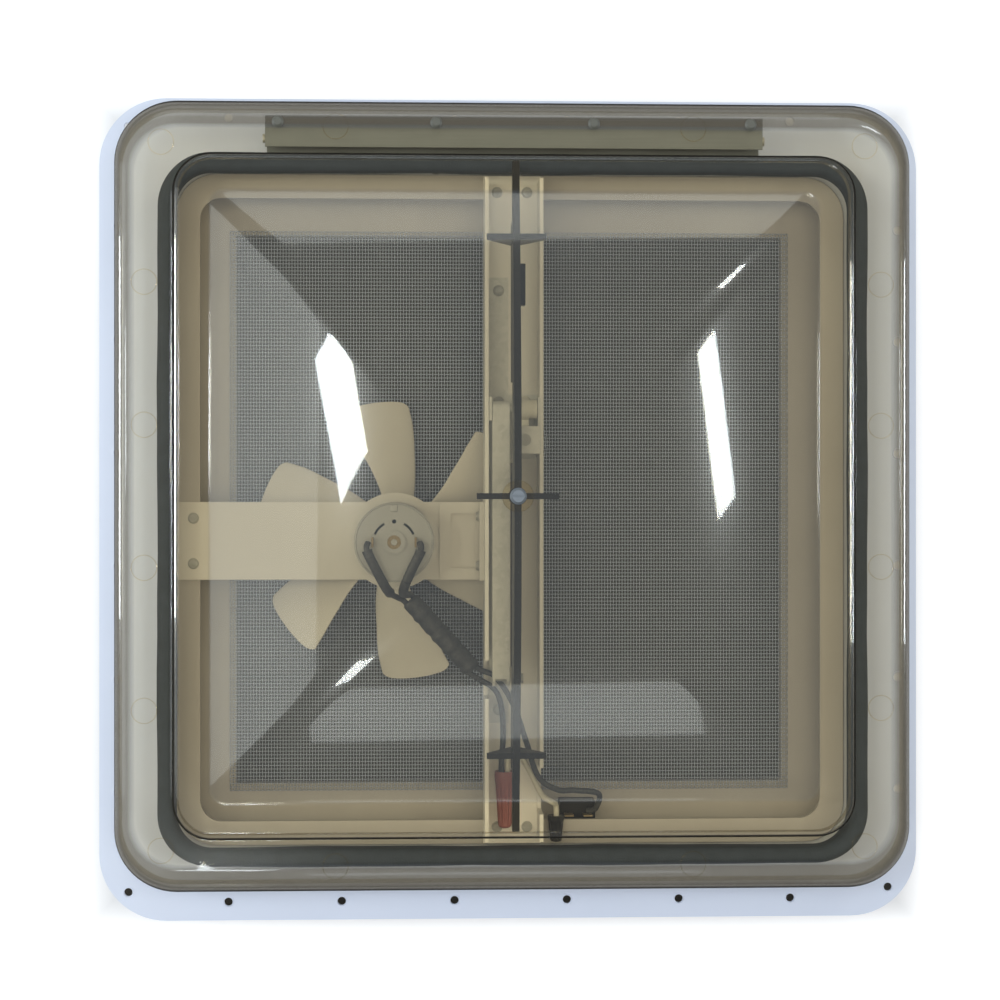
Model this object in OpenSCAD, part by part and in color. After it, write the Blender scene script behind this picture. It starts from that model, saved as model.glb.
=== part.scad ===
// Caravan roof vent: hinged smoke lid, crank-driven lift arm and a small exhaust fan.
// Origin: centre of the flange underside, on the roof. Millimetres.
// +X right, +Y towards the lid hinge, +Z up.

/* [Base frame] */
// Clear width of the square roof opening inside the collar
opening_w = 356; // [346:1:366]
// Width of the flange outside the collar
flange_reach = 40.5; // [36:0.5:46]
// Corner radius of the flange
flange_corner_r = 36; // [26:1:40]
// Thickness of the painted steel sheet
sheet_t = 1.5; // [1:0.1:2]
// Height of the collar's top edge above the roof
collar_h = 45; // [44:1:50]
// Inside corner radius of the collar
collar_corner_r = 22; // [16:1:26]
// Diameter of the flange screw holes
flange_hole_d = 4.5; // [3.5:0.1:5.5]
// Distance from the flange edge to a row of holes
row_hole_inset = 10; // [8:0.5:12]
// Distance from both flange edges to a corner hole
corner_hole_inset = 15.5; // [13:0.5:18]
// Pitch of the holes in a row
hole_pitch = 60.5; // [55:0.5:64]
// Holes in each row
row_holes = 6; // [2:2:6]

/* [Seal] */
// Width of the foam seal on the collar
seal_w = 10; // [8:0.5:12]
// Height of the seal above the collar's edge
seal_rise = 5.9; // [5:0.1:6]
// Depth of the seal's grip below the collar's edge
seal_grip = 5; // [3:0.5:6]

/* [Lid] */
// Reach of the lid rim outside the collar
lid_overhang = 23.5; // [21:0.5:26]
// Shift of the lid towards the hinge
lid_shift = 7; // [4:0.5:9]
// Corner radius of the lid rim
lid_corner_r = 32; // [24:1:36]
// Wall thickness of the lid
lid_t = 2.5; // [2:0.1:3]
// Depth of the lid skirt below the step
skirt_h = 20; // [16:1:22]
// Rounding of the lid's outer edge
rim_round = 8; // [5:0.5:10]
// Inset of the raised panel from the collar's inner face
panel_inset = 4; // [2:0.5:6]
// Height of the raised panel above the step
panel_h = 12; // [10:0.5:16]
// Corner radius of the raised panel
panel_corner_r = 20; // [14:1:26]
// Rounding of the panel's edge
panel_round = 4; // [3:0.5:6]
// Width of the panel's flat border round the crown
panel_border = 19.5; // [16:0.5:24]
// Height of the crown above the panel
crown_h = 22; // [16:1:26]
// Diameter of the ejector marks under the step
mark_d = 13; // [10:0.5:14]

/* [Hinge] */
// Distance of the hinge axis from the collar's outer face
hinge_setback = 11.5; // [11:0.5:13]
// Length of the hinge leaves
hinge_l = 256; // [220:2:280]
// Outer radius of the hinge knuckles
knuckle_r = 3.2; // [2.8:0.1:3.4]
// Radius of the hinge pin
hinge_pin_r = 1.5; // [1.2:0.1:1.8]
// Knuckles in all, shared in turn between lid and base
knuckles = 9; // [5:2:11]
// Thickness of the hinge leaves
leaf_t = 1.2; // [1:0.1:1.5]

/* [Lift arm and rail] */
// Lift arm length, pivot to slider; also the distance from pivot to hinge axis
arm_l = 139; // [130:1:142]
// Largest lid angle
lid_open = 50; // [30:1:50]
// Thickness of the lid rail
rail_t = 3.6; // [3:0.1:4]
// Width of the lift arm
arm_w = 8.8; // [8:0.1:9]
// Radius of the arm shaft
arm_shaft_r = 2.5; // [2:0.1:3]
// Teeth on a whole turn of the sector gear
gear_teeth = 28; // [26:1:30]
// Tooth pitch divided by pi
gear_module = 0.8; // [0.75:0.01:0.85]
// Pitch radius of the worm
worm_r = 5; // [4.8:0.1:5.2]

/* [Crank] */
// Radius of the crank shaft
crank_shaft_r = 3; // [2.5:0.1:3.2]
// Length of the crank lever between its two axes
crank_l = 45; // [35:1:60]
// Diameter of the crank knob
knob_d = 16; // [14:0.5:20]
// Height of the crank knob
knob_h = 20; // [16:1:26]

/* [Inner frame] */
// Gap between the inner frame and the collar
frame_gap = 4; // [3:0.5:5]
// Wall thickness of the moulded plastic pieces
wall_t = 2.5; // [2:0.1:3]
// Height of the inner frame's lip above the roof
lip_z = 14; // [12:0.5:16]
// Thickness of the roof between flange and ceiling trim
roof_t = 34.5; // [30:0.5:45]
// Width of the ledge under the screen
ledge_w = 25.5; // [24:0.5:28]
// Depth of the screen below the roof surface
screen_depth = 12; // [11:0.5:14]
// Gaps of the simplified net along each side
net_gaps = 17; // [9:2:17]
// Width of the ceiling trim's border
trim_w = 37; // [32:1:45]

/* [Centre beam] */
// Outer width of the channel
beam_w = 30.4; // [30:0.1:32]
// Wall thickness of the channel
beam_t = 2; // [1.5:0.1:2.2]
// Height of the channel
beam_h = 28; // [24:0.5:29]

/* [Fan and motor] */
// Outer diameter of the fan
fan_d = 152.4; // [140:0.2:156]
// Blades of the fan
fan_blades = 6; // [4:1:7]
// Pitch angle of the blades
blade_pitch = 20; // [12:1:24]
// Distance of the fan axis from the beam's middle
fan_x = 62; // [60:0.5:66]
// Distance of the fan axis in front of the middle
fan_y = 16.5; // [12:0.5:22]
// Outer radius of the motor can
motor_r = 20.5; // [17:0.5:21]
// Length of the motor can
motor_l = 34; // [28:1:38]
// Radius of the motor shaft
motor_shaft_r = 1.6; // [1.5:0.05:2]
// Width of the fan bracket
bracket_w = 41; // [36:1:44]

/* [Switch and leads] */
// Distance of the switch from the beam's middle
switch_x = 36; // [33:1:44]
// Tilt of the rocker in each of its two positions
rocker_tilt = 8; // [5:0.5:10]
// Radius of the leads
lead_r = 1.5; // [1.2:0.1:1.6]

/* [Hidden] */
$fn = 48;
// Clearance of shafts and pins in their bores
bore_gap = 0.05;
// Gap between pieces that move past each other
free_gap = 0.3;
half_opening = opening_w / 2;
collar_outer = half_opening + sheet_t;
flange_half = collar_outer + flange_reach;

// Seal and lid heights
seal_top = collar_h + seal_rise;
mark_h = 0.3;
step_under = seal_top + free_gap + mark_h;
step_z = step_under + lid_t;
skirt_z = step_z - skirt_h;
panel_z = step_z + panel_h;
crown_z = panel_z + crown_h;
lid_half = collar_outer + lid_overhang;
panel_half = half_opening - panel_inset;
panel_in = panel_half - lid_t;
panel_in_r = panel_corner_r - lid_t;
crown_half = panel_half - panel_border;
crown_r = (crown_half * crown_half + crown_h * crown_h) / (2 * crown_h);
crown_axis_z = crown_z - crown_r;
crown_under = crown_z - lid_t;
panel_under = panel_z - lid_t;

// Hinge line, and the arm that is as long as its pivot is far from that line
hinge_y = collar_outer + hinge_setback;
leaf_z = step_under - mark_h - leaf_t;
hinge_z = leaf_z - knuckle_r - 0.8;
knuckle_gap = 0.4;
knuckle_pitch = hinge_l / knuckles;
leaf_front = hinge_y - 5;
leaf_back = hinge_y + 11;
leaf_rivet_y = hinge_y + 7.4;
leaf_rivet_x = [for (k = [-1.5:1:1.5]) k * hinge_l * 0.316];
base_leaf_top = collar_h - seal_grip - 2;
base_leaf_low = 14;
rivet_r = 1.6;
pivot_y = hinge_y - arm_l;
tip_y = hinge_y - 2 * arm_l;
tip_open_y = hinge_y - 2 * arm_l * cos(lid_open);

// Channel, lip and screen heights
beam_half = beam_w / 2;
beam_in = beam_half - beam_t;
floor_z = lip_z + wall_t;
beam_top = lip_z + beam_h;
frame_half = half_opening - frame_gap;
frame_in = frame_half - wall_t;
frame_corner_r = collar_corner_r - frame_gap;
lip_in = frame_in - 6.5;
lip_gap = 0.4;
lip_out = half_opening - lip_gap;
lip_t = 3;
lip_low = lip_z - lip_t;
frame_in_r = frame_corner_r - wall_t;
ledge_gap = 0.2;
net_t = 0.6;
screen_z = -screen_depth;
ledge_z = screen_z - net_t;
ledge_low = ledge_z - wall_t;
screen_half = frame_half - ledge_w;
ledge_screw_y = lip_in + 3.3;
screw_r = 1.4;
screw_gap = 0.4;
trim_top = -roof_t;
frame_low = trim_top + 0.3;
trim_t = 2.5;
trim_in = frame_in - 3.5;
trim_half = trim_in + trim_w;
trim_boss = frame_in - 7;
trim_hole = trim_half - 10;
trim_corner_r = collar_corner_r;
trim_outer_r = 24;
trim_screw_l = 9;
frame_pad_x = half_opening * 0.6;
frame_screw_z = 6;
base_rivet_z = (base_leaf_low + base_leaf_top) / 2 - 2;
net_half = screen_half + 8;
grommet_r = crank_shaft_r + 4;

// Rail: a blade in the middle plane with a slot on the hinge line's level
rail_half = rail_t / 2;
slider_half_l = 6;
slider_half_h = 2.5;
slot_half_h = slider_half_h + free_gap;
slot_back = tip_open_y + slider_half_l + 0.8;
slot_front = tip_y - slider_half_l - 0.8;
lug_low = hinge_z - 6.5;
lug_edge = 5;
boss_r = 8;
boss_h = 2;
rail_post_r = 4.5;
rail_post_h = 12;
crown_screw_r = 2;
rail_front = lid_shift - panel_half + lid_t + 1;
rail_back = lid_shift + panel_half - lid_t - 1;
rail_shallow = seal_top + 4;
rail_deep = hinge_z - 4;
gusset_inset = 23.2;
gusset_clear = 30.5;
gusset_edge = 9;
gusset_t = 3;
rear_gusset_y = lid_shift + crown_half - gusset_inset;
front_gusset_y = slot_front - gusset_clear;
gusset_w = 30;
middle_gusset_w = 41;
crown_in_r = crown_r - lid_t;
rail_top_r = crown_in_r - free_gap;

// Lift arm and its gear train
arm_end_r = 4;
arm_right = -rail_half - 0.9;
arm_left = arm_right - arm_w;
arm_wall = 1.4;
gear_r = gear_module * gear_teeth / 2;
gear_tip = gear_r + gear_module;
gear_root = gear_r - 1.25 * gear_module;
tooth_t = gear_module;
worm_lead = PI * gear_module;
worm_tip = worm_r + gear_module;
worm_root = worm_r - 1.25 * gear_module;
worm_x = 5;
worm_y = pivot_y - gear_r - worm_r;
worm_len = 16;
gear_w = 4.4;
ear_out = beam_in - 0.1;
ear_t = 1.3;
plate_t = 1.5;
bridge_z = hinge_z + worm_len / 2 + 1.2;
bridge_t = 2.5;
rail_over = bridge_z + bridge_t + 4;
bush_r = 5;
bush_low = lip_z - 3;
plate_front = worm_y - 9;
plate_back = pivot_y + 9;
strip_front = -113;
strip_back = 123;
strip_left = -ear_out + 0.7;
strip_right = -2;

// Crank below the ceiling trim
crank_z = trim_top - trim_t - 4;
lever_t = 5;
lever_half_w = 6;
hub_r = 8;
hub_h = 12;
knob_pin_r = 2.5;
lever_z = crank_z - hub_h;
knob_top = lever_z - free_gap;
knob_y = worm_y - crank_l;
knob_low = knob_top - knob_h;

// Fan below the bracket
fan_at = [-fan_x, -fan_y, 0];
fan_r = fan_d / 2;
fan_hub_r = 13;
fan_mid_z = lip_z - 13;
fan_hub_top = fan_mid_z + 8;
fan_hub_low = fan_mid_z - 7.5;
blade_t = 1.6;
blade_root_r = 8;
blade_neck_r = 24;
blade_neck_lead = 13;
blade_neck_trail = 4;
blade_tip_lead = 16.5;
blade_tip_trail = 18.5;
blade_angle = 95;
shaft_low = fan_hub_low - 3;
fan_nut_h = 2;
can_z = lip_z + wall_t;
can_top = can_z + motor_l;
cap_t = 4;
cap_top = can_top + cap_t;
can_t = 1.2;
nose_r = 6;
motor_bush_r = 3.5;
motor_screw_r = 1.3;
motor_screw_y = 12.5;
magnet_t = 3.2;
magnet_low = 6;
magnet_l = motor_l - 15;
cap_slot_r = 10;
cap_slot_w = 1.2;
cap_slot_span = 40;
cap_slot_start = 22;
cap_hole_r = 1.1;
bracket_screw_y = 12;
side_screw_y = 13;
side_bore_l = 14;
side_bore_back = side_bore_l - 2;
seat_r = motor_r + 5;
brush_z = can_top - 6;
tab_x = 11;
tab_top = cap_top + 6;
flange_plate_x = -beam_half - wall_t;

// Switch in the front ledge
switch_l = 19;
switch_w = 13;
bezel_t = 2;
bezel_edge = 0.7;
switch_at = [switch_x, -(frame_in - switch_w / 2 - bezel_edge - 0.5)];
switch_low = ledge_low - bezel_t;
switch_top = switch_low + 19;
rocker_pivot_z = switch_low + 1;
rocker_l = 15;
rocker_w = 10;
rocker_pin_l = 6;
rocker_pin_r = 1;
terminal_pitch = 10;

// Leads: hand-chosen points, carried along with the motor, the channel and the switch
terminal_z = tab_top - 1;
sleeve_a = fan_at + [8, -31, lip_z + 15];
sleeve_b = [-beam_half - 6, fan_at[1] - 67.5, lip_z + 12];
sleeve_dir = (sleeve_b - sleeve_a) / norm(sleeve_b - sleeve_a);
lead_space = 2.4;
sleeve_side = lead_space * [sleeve_dir[1], -sleeve_dir[0], 0];
sleeve_r = 5.5;
sleeve_bore = 4.2;
shrink_r = 2.7;
nut_x = -4;
nut_y = 33.5 - frame_in;
nut_l = 30;
nut_r = 5.5;
nut_bore = 3.8;
nut_depth = 12;
nut_z = floor_z + nut_r + 0.05;
dark_nut_r = 4.5;
dark_nut_l = 14;
dark_nut_depth = 8;
dark_nut_at = [beam_half + 8, 9.5 - frame_in, lip_z + dark_nut_r + 0.05];
notch_z = lip_z + 6;
left_notch_y = [sleeve_b[1] - 14, sleeve_b[1] + 6];
right_notch_y = [nut_y - 20, nut_y + 4];
tab_lead_x = tab_x + 0.5 + lead_r + 0.2;
terminal_x = switch_at[0] + terminal_pitch / 2;
terminal_lead_y = switch_at[1] + 0.4 + lead_r + 0.3;
left_lead_points = [
    fan_at + [-tab_lead_x, 0, terminal_z],
    fan_at + [-tab_lead_x - 0.5, -4, terminal_z + 2],
    fan_at + [-9, -14, terminal_z + 1],
    fan_at + [-4, -23.5, can_top + 5],
    fan_at + [-1, -27.5, can_top - 8],
    fan_at + [2, -29.5, lip_z + 20],
    sleeve_a + sleeve_side,
    (sleeve_a + sleeve_b) / 2 + sleeve_side,
    sleeve_b + sleeve_side,
    [-beam_in + 3, sleeve_b[1] - 10, lip_z + 11],
    [-6, sleeve_b[1] - 20, lip_z + 10],
    [-5, nut_y + 18, nut_z + 1],
    [nut_x - 1.8, nut_y + 6, nut_z],
    [nut_x - 1.8, nut_y - 7, nut_z],
];
right_lead_points = [
    fan_at + [tab_lead_x, 0, terminal_z],
    fan_at + [tab_lead_x + 0.5, -4, terminal_z + 2],
    fan_at + [9, -14, terminal_z + 1],
    fan_at + [5, -23.5, can_top + 5],
    fan_at + [5.5, -27.5, can_top - 8],
    fan_at + [8, -28, lip_z + 20],
    sleeve_a - sleeve_side,
    (sleeve_a + sleeve_b) / 2 - sleeve_side,
    sleeve_b - sleeve_side,
    [-beam_in + 4, sleeve_b[1] - 4, lip_z + 12],
    [0, sleeve_b[1] - 18, lip_z + 13],
    [7, nut_y + 16, lip_z + 14],
    [beam_in, nut_y - 2, lip_z + 15],
    [beam_half + 8, nut_y - 9, lip_z + 15],
    [switch_at[0] - 3, nut_y - 10, lip_z + 11],
    [terminal_x + 5, nut_y - 13, lip_z + 3],
    [terminal_x + 4, terminal_lead_y + 2, switch_top + 9],
    [terminal_x, terminal_lead_y, switch_top + 5],
];
white_lead_points = [
    [nut_x + 1.8, nut_y - 7, nut_z],
    [nut_x + 1.8, nut_y + 6, nut_z],
    [2, nut_y + 11, nut_z + 1],
    [8, nut_y + 2, nut_z + 1],
    [beam_half, nut_y - 12, nut_z + 2],
    [beam_half + 5, nut_y - 16, nut_z + 1],
    dark_nut_at + [0, 5, 0.5],
    dark_nut_at + [0, -5, 0],
];

// Colours of the materials
paint_white = [0.84, 0.87, 0.9];
foam_black = [0.06, 0.06, 0.06];
smoke = [0.33, 0.31, 0.27, 0.45];
steel_grey = [0.45, 0.46, 0.42];
zinc = [0.56, 0.55, 0.49];
cream = [0.86, 0.83, 0.74];
black_paint = [0.07, 0.07, 0.07];
net_grey = [0.62, 0.62, 0.59];
motor_grey = [0.5, 0.5, 0.47];
ferrite = [0.17, 0.17, 0.18];
bronze = [0.6, 0.42, 0.2];
carbon = [0.1, 0.1, 0.11];
nylon = [0.9, 0.9, 0.86];
rubber_black = [0.05, 0.05, 0.05];
nut_red = [0.6, 0.13, 0.1];
switch_black = [0.05, 0.05, 0.06];

// Plain helpers

// Square of width w with corner radius r, about the middle
module rounded_square(w, r) {
    square([w - 2 * r, w], center = true);
    square([w, w - 2 * r], center = true);
    for (sx = [-1, 1], sy = [-1, 1]) translate([sx * (w / 2 - r), sy * (w / 2 - r)]) circle(r);
}

// Square ring between two half widths, each with its own corner radius, from z0 to z1
module square_ring(half_out, r_out, half_in, r_in, z0, z1) {
    translate([0, 0, z0]) linear_extrude(z1 - z0) difference() {
        rounded_square(2 * half_out, r_out);
        rounded_square(2 * half_in, r_in);
    }
}

// 2D children drawn in Y and Z, extruded along X
module along_x(x0, x1) {
    translate([x0, 0, 0]) rotate([90, 0, 90]) linear_extrude(x1 - x0) children();
}

// 2D children drawn in X and Z, extruded along Y
module along_y(y0, y1) {
    translate([0, y1, 0]) rotate([90, 0, 0]) linear_extrude(y1 - y0) children();
}

// Box between two corners
module box(a, b) {
    translate(a) cube(b - a);
}

// Cylinder along X, Y or Z from one place on that axis to another
module x_rod(x0, x1, y, z, r) {
    translate([x0, y, z]) rotate([0, 90, 0]) cylinder(r = r, h = x1 - x0);
}

module y_rod(y0, y1, x, z, r) {
    translate([x, y1, z]) rotate([90, 0, 0]) cylinder(r = r, h = y1 - y0);
}

module z_rod(z0, z1, x, y, r) {
    translate([x, y, z0]) cylinder(r = r, h = z1 - z0);
}

// Capsule outline between two points on a level line
module capsule(a, b, level, r) {
    translate([a, level]) circle(r);
    translate([b, level]) circle(r);
    translate([min(a, b), level - r]) square([abs(b - a), 2 * r]);
}

// Four places at the corners of a square with half width p
module at_corners(p) {
    for (sx = [-1, 1], sy = [-1, 1]) translate([sx * p, sy * p, 0]) children();
}

// Solid skin over a list of rings with equal numbers of points
module skin(rings) {
    n = len(rings[0]);
    last = (len(rings) - 1) * n;
    polyhedron(
        points = [for (ring = rings) each ring],
        faces = concat(
            [[for (i = [n - 1:-1:0]) i]],
            [for (j = [0:len(rings) - 2], i = [0:n - 1])
                let (a = j * n + i, b = j * n + (i + 1) % n) each [[a, b, a + n], [b, b + n, a + n]]],
            [[for (i = [0:n - 1]) last + i]]
        )
    );
}

// Point on the smooth curve through four neighbours, t from 0 to 1 between b and c
function curve_point(a, b, c, d, t) =
    0.5 * (2 * b + (c - a) * t + (2 * a - 5 * b + 4 * c - d) * t * t + (3 * b - a - 3 * c + d) * t * t * t);

function smooth_path(p, steps) = concat(
    [for (i = [0:len(p) - 2], k = [0:steps - 1])
        curve_point(p[max(i - 1, 0)], p[i], p[i + 1], p[min(i + 2, len(p) - 1)], k / steps)],
    [p[len(p) - 1]]
);

// Ring of points of radius r about path point i
function tube_ring(path, i, r, sides) =
    let (
        run = path[min(i + 1, len(path) - 1)] - path[max(i - 1, 0)],
        t = run / norm(run),
        lean = cross(t, [0.35, 0.85, 0.4]),
        u = lean / norm(lean),
        v = cross(t, u)
    ) [for (k = [0:sides - 1]) path[i] + r * (cos(360 * k / sides) * u + sin(360 * k / sides) * v)];

module lead(points) {
    path = smooth_path(points, 2);
    skin([for (i = [0:len(path) - 1]) tube_ring(path, i, lead_r, 8)]);
}

// Hollow sleeve over a lead, from one ring of its path to another
module shrink_sleeve(points, first, last) {
    path = smooth_path(points, 2);
    n = 8;
    count = last - first + 1;
    inner = count * n;
    end = (count - 1) * n;
    polyhedron(
        points = [for (r = [shrink_r, lead_r + 0.1], i = [first:last]) each tube_ring(path, i, r, n)],
        faces = concat(
            [for (j = [0:count - 2], i = [0:n - 1])
                let (a = j * n + i, b = j * n + (i + 1) % n) each [[a, b, a + n], [b, b + n, a + n]]],
            [for (j = [0:count - 2], i = [0:n - 1])
                let (a = inner + j * n + i, b = inner + j * n + (i + 1) % n)
                    each [[a, a + n, b], [b, a + n, b + n]]],
            [for (i = [0:n - 1])
                let (a = i, b = (i + 1) % n) each [[a, a + inner, b], [b, a + inner, b + inner]]],
            [for (i = [0:n - 1])
                let (a = end + i, b = end + (i + 1) % n) each [[a, b, a + inner], [b, b + inner, a + inner]]]
        )
    );
}

// Cylinder between two points
module rod(a, b, r) {
    d = b - a;
    translate(a) rotate([0, acos(d[2] / norm(d)), atan2(d[1], d[0])]) cylinder(r = r, h = norm(d));
}

// Pan-head screw along -Z from the seat at the origin
module screw(r, l) {
    translate([0, 0, -l]) cylinder(r = r, h = l);
    difference() {
        cylinder(r1 = 2.1 * r, r2 = 1.5 * r, h = 1.2 * r);
        translate([-2 * r, -0.25 * r, 0.8 * r]) cube([4 * r, 0.5 * r, r]);
    }
}

// Domed rivet with its head at the origin, set through a stack of thickness l
module rivet(r, l) {
    translate([0, 0, -l]) cylinder(r = r, h = l);
    cylinder(r1 = 1.9 * r, r2 = 1.2 * r, h = 0.8 * r);
    translate([0, 0, -l - 0.7 * r]) cylinder(r1 = 1.1 * r, r2 = 1.5 * r, h = 0.7 * r);
}

// Base frame and hinge

module flange_hole_places() {
    at_corners(flange_half - corner_hole_inset) children();
    for (side = [0:3], k = [0:row_holes - 1])
        rotate(90 * side)
            translate([(k - (row_holes - 1) / 2) * hole_pitch, -(flange_half - row_hole_inset), 0])
                children();
}

// Places of the screws that hold the inner frame in the collar, on the collar's outer face
module frame_screw_places() {
    for (side = [0:3], s = [-1, 1])
        rotate(90 * side) translate([s * frame_pad_x, collar_outer, frame_screw_z]) children();
}

module base_frame() {
    color(paint_white) difference() {
        union() {
            linear_extrude(sheet_t) rounded_square(2 * flange_half, flange_corner_r);
            linear_extrude(collar_h) rounded_square(2 * collar_outer, collar_corner_r + sheet_t);
        }
        translate([0, 0, -1]) linear_extrude(collar_h + 2) rounded_square(opening_w, collar_corner_r);
        flange_hole_places() translate([0, 0, -1]) cylinder(d = flange_hole_d, h = sheet_t + 2);
        frame_screw_places() rotate([90, 0, 0]) translate([0, 0, -1])
            cylinder(r = screw_r + screw_gap, h = sheet_t + 2);
        for (x = leaf_rivet_x) y_rod(half_opening - 1, collar_outer + 1, x, base_rivet_z, rivet_r + bore_gap);
    }
}

module collar_seal() {
    side = (seal_w - sheet_t) / 2;
    low = collar_h - seal_grip;
    color(foam_black) difference() {
        square_ring(collar_outer + side, collar_corner_r + sheet_t + side,
            half_opening - side, collar_corner_r - side, low, seal_top);
        square_ring(collar_outer + bore_gap, collar_corner_r + sheet_t + bore_gap,
            half_opening - bore_gap, collar_corner_r - bore_gap, low - 1, collar_h + bore_gap);
    }
}

// Knuckles of one parity along the hinge line
module knuckle_row(parity) {
    for (k = [parity:2:knuckles - 1])
        translate([-hinge_l / 2 + k * knuckle_pitch + knuckle_gap / 2, 0, 0]) children();
}

module base_hinge_leaf() {
    span = knuckle_pitch - knuckle_gap;
    color(steel_grey) difference() {
        union() {
            box([-hinge_l / 2, collar_outer, base_leaf_low],
                [hinge_l / 2, collar_outer + leaf_t, base_leaf_top]);
            box([-hinge_l / 2, collar_outer, base_leaf_top - leaf_t],
                [hinge_l / 2, hinge_y + leaf_t / 2, base_leaf_top]);
            knuckle_row(1) union() {
                box([0, hinge_y - leaf_t / 2, base_leaf_top - leaf_t], [span, hinge_y + leaf_t / 2, hinge_z]);
                x_rod(0, span, hinge_y, hinge_z, knuckle_r);
            }
        }
        x_rod(-hinge_l, hinge_l, hinge_y, hinge_z, hinge_pin_r + bore_gap);
        for (x = leaf_rivet_x) y_rod(half_opening, hinge_y - 2, x, base_rivet_z, rivet_r + bore_gap);
    }
}

module base_hinge_rivets() {
    color(zinc) for (x = leaf_rivet_x)
        translate([x, collar_outer + leaf_t, base_rivet_z]) rotate([-90, 0, 0])
            rivet(rivet_r, sheet_t + leaf_t);
}

module hinge_pin() {
    color(zinc) {
        x_rod(-hinge_l / 2 - 0.5, hinge_l / 2 + 0.5, hinge_y, hinge_z, hinge_pin_r);
        x_rod(hinge_l / 2 + 0.5, hinge_l / 2 + 1.5, hinge_y, hinge_z, hinge_pin_r + 0.8);
        x_rod(-hinge_l / 2 - 1.5, -hinge_l / 2 - 0.5, hinge_y, hinge_z, hinge_pin_r + 0.8);
    }
}

// Inner frame, screen and ceiling trim

// Upright sleeve in the roof opening, with pads towards the collar and bosses for the trim screws
module inner_frame() {
    pad_half = 8;
    boss_r = 4.5;
    color(cream) difference() {
        union() {
            square_ring(frame_half, frame_corner_r, frame_in, frame_in_r, frame_low, lip_low);
            for (side = [0:3], s = [-1, 1])
                rotate(90 * side) translate([s * frame_pad_x, 0, 0])
                    box([-pad_half, frame_half - wall_t / 2, 0], [pad_half, half_opening, lip_low]);
            at_corners(trim_boss) z_rod(frame_low, ledge_low, 0, 0, boss_r);
        }
        frame_screw_places() rotate([90, 0, 0])
            cylinder(r = screw_r + bore_gap, h = sheet_t + frame_gap + wall_t + 1);
        at_corners(trim_boss) z_rod(frame_low - 1, frame_low + trim_screw_l + 3, 0, 0, screw_r + bore_gap);
    }
}

// Flat lip on the sleeve's top edge, which carries the beam and the fan bracket
module frame_lip() {
    color(cream) difference() {
        square_ring(lip_out, collar_corner_r - lip_gap, lip_in, frame_in_r - 4, lip_low, lip_z);
        beam_screw_places() translate([0, 0, -10]) cylinder(r = screw_r + bore_gap, h = 12);
        for (s = [-1, 1])
            z_rod(lip_low - 1, lip_z + 1, -ledge_screw_y, -fan_y + s * bracket_screw_y, screw_r + bore_gap);
    }
}

// Ledge on the corner bosses, under the screen, with a rim round the screen's opening
module screen_ledge() {
    rim_h = 5;
    rim_r = 1.5;
    out_half = frame_in - ledge_gap;
    cut = [switch_l / 2 + ledge_gap, switch_w / 2 + ledge_gap];
    color(cream) difference() {
        union() {
            square_ring(out_half, frame_in_r - ledge_gap, screen_half, rim_r, ledge_low, ledge_z);
            square_ring(screen_half + wall_t, rim_r + wall_t, screen_half, rim_r, ledge_low - rim_h, ledge_z);
        }
        box([switch_at[0] - cut[0], switch_at[1] - cut[1], ledge_low - 1],
            [switch_at[0] + cut[0], switch_at[1] + cut[1], ledge_z + 1]);
    }
}

module frame_screws() {
    color(zinc) frame_screw_places() rotate([-90, 0, 0]) screw(screw_r, sheet_t + frame_gap + wall_t);
}

module insect_screen() {
    wire = 0.8;
    pitch = (2 * net_half - wire) / net_gaps;
    color(net_grey) difference() {
        translate([0, 0, ledge_z]) linear_extrude(net_t) {
            for (k = [0:net_gaps]) {
                translate([-net_half + k * pitch, -net_half]) square([wire, 2 * net_half]);
                translate([-net_half, -net_half + k * pitch]) square([2 * net_half, wire]);
            }
            translate([worm_x, worm_y]) circle(grommet_r + 4);
        }
        z_rod(ledge_z - 1, screen_z + 1, worm_x, worm_y, grommet_r);
    }
}

module screen_grommet() {
    color(rubber_black) difference() {
        union() {
            z_rod(ledge_z - 2, screen_z + 2, worm_x, worm_y, grommet_r - bore_gap);
            z_rod(ledge_z - 2, ledge_z, worm_x, worm_y, grommet_r + 2.5);
            z_rod(screen_z, screen_z + 2, worm_x, worm_y, grommet_r + 2.5);
        }
        z_rod(ledge_z - 3, screen_z + 3, worm_x, worm_y, crank_shaft_r + free_gap);
    }
}

module ceiling_trim() {
    color(cream) difference() {
        square_ring(trim_half, trim_outer_r, trim_in, trim_corner_r, trim_top - trim_t, trim_top);
        at_corners(trim_boss) z_rod(trim_top - trim_t - 1, trim_top + 1, 0, 0, screw_r + screw_gap);
        at_corners(trim_hole) z_rod(trim_top - trim_t - 1, trim_top + 1, 0, 0, flange_hole_d / 2);
    }
}

module trim_screws() {
    color(zinc) at_corners(trim_boss)
        translate([0, 0, trim_top - trim_t]) rotate([180, 0, 0]) screw(screw_r, trim_t + trim_screw_l);
}

// Centre beam and fan bracket

module beam_screw_places() {
    for (sx = [-1, 1], sy = [-1, 1]) translate([sx * beam_in * 0.6, sy * ledge_screw_y, floor_z]) children();
}

module bracket_side_places() {
    for (s = [-1, 1])
        translate([flange_plate_x, -fan_y + s * side_screw_y, lip_z + 12]) rotate([0, -90, 0]) children();
}

module operator_rivet_places() {
    mid = (strip_left + strip_right) / 2;
    end = 7;
    plate_row = plate_back - 4;
    strip_row = (strip_front + plate_back) / 2;
    for (y = [strip_front + end, strip_row, strip_back - end, plate_row])
        translate([mid, y, floor_z + plate_t]) children();
    translate([-mid, plate_row, floor_z + plate_t]) children();
}

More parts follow.
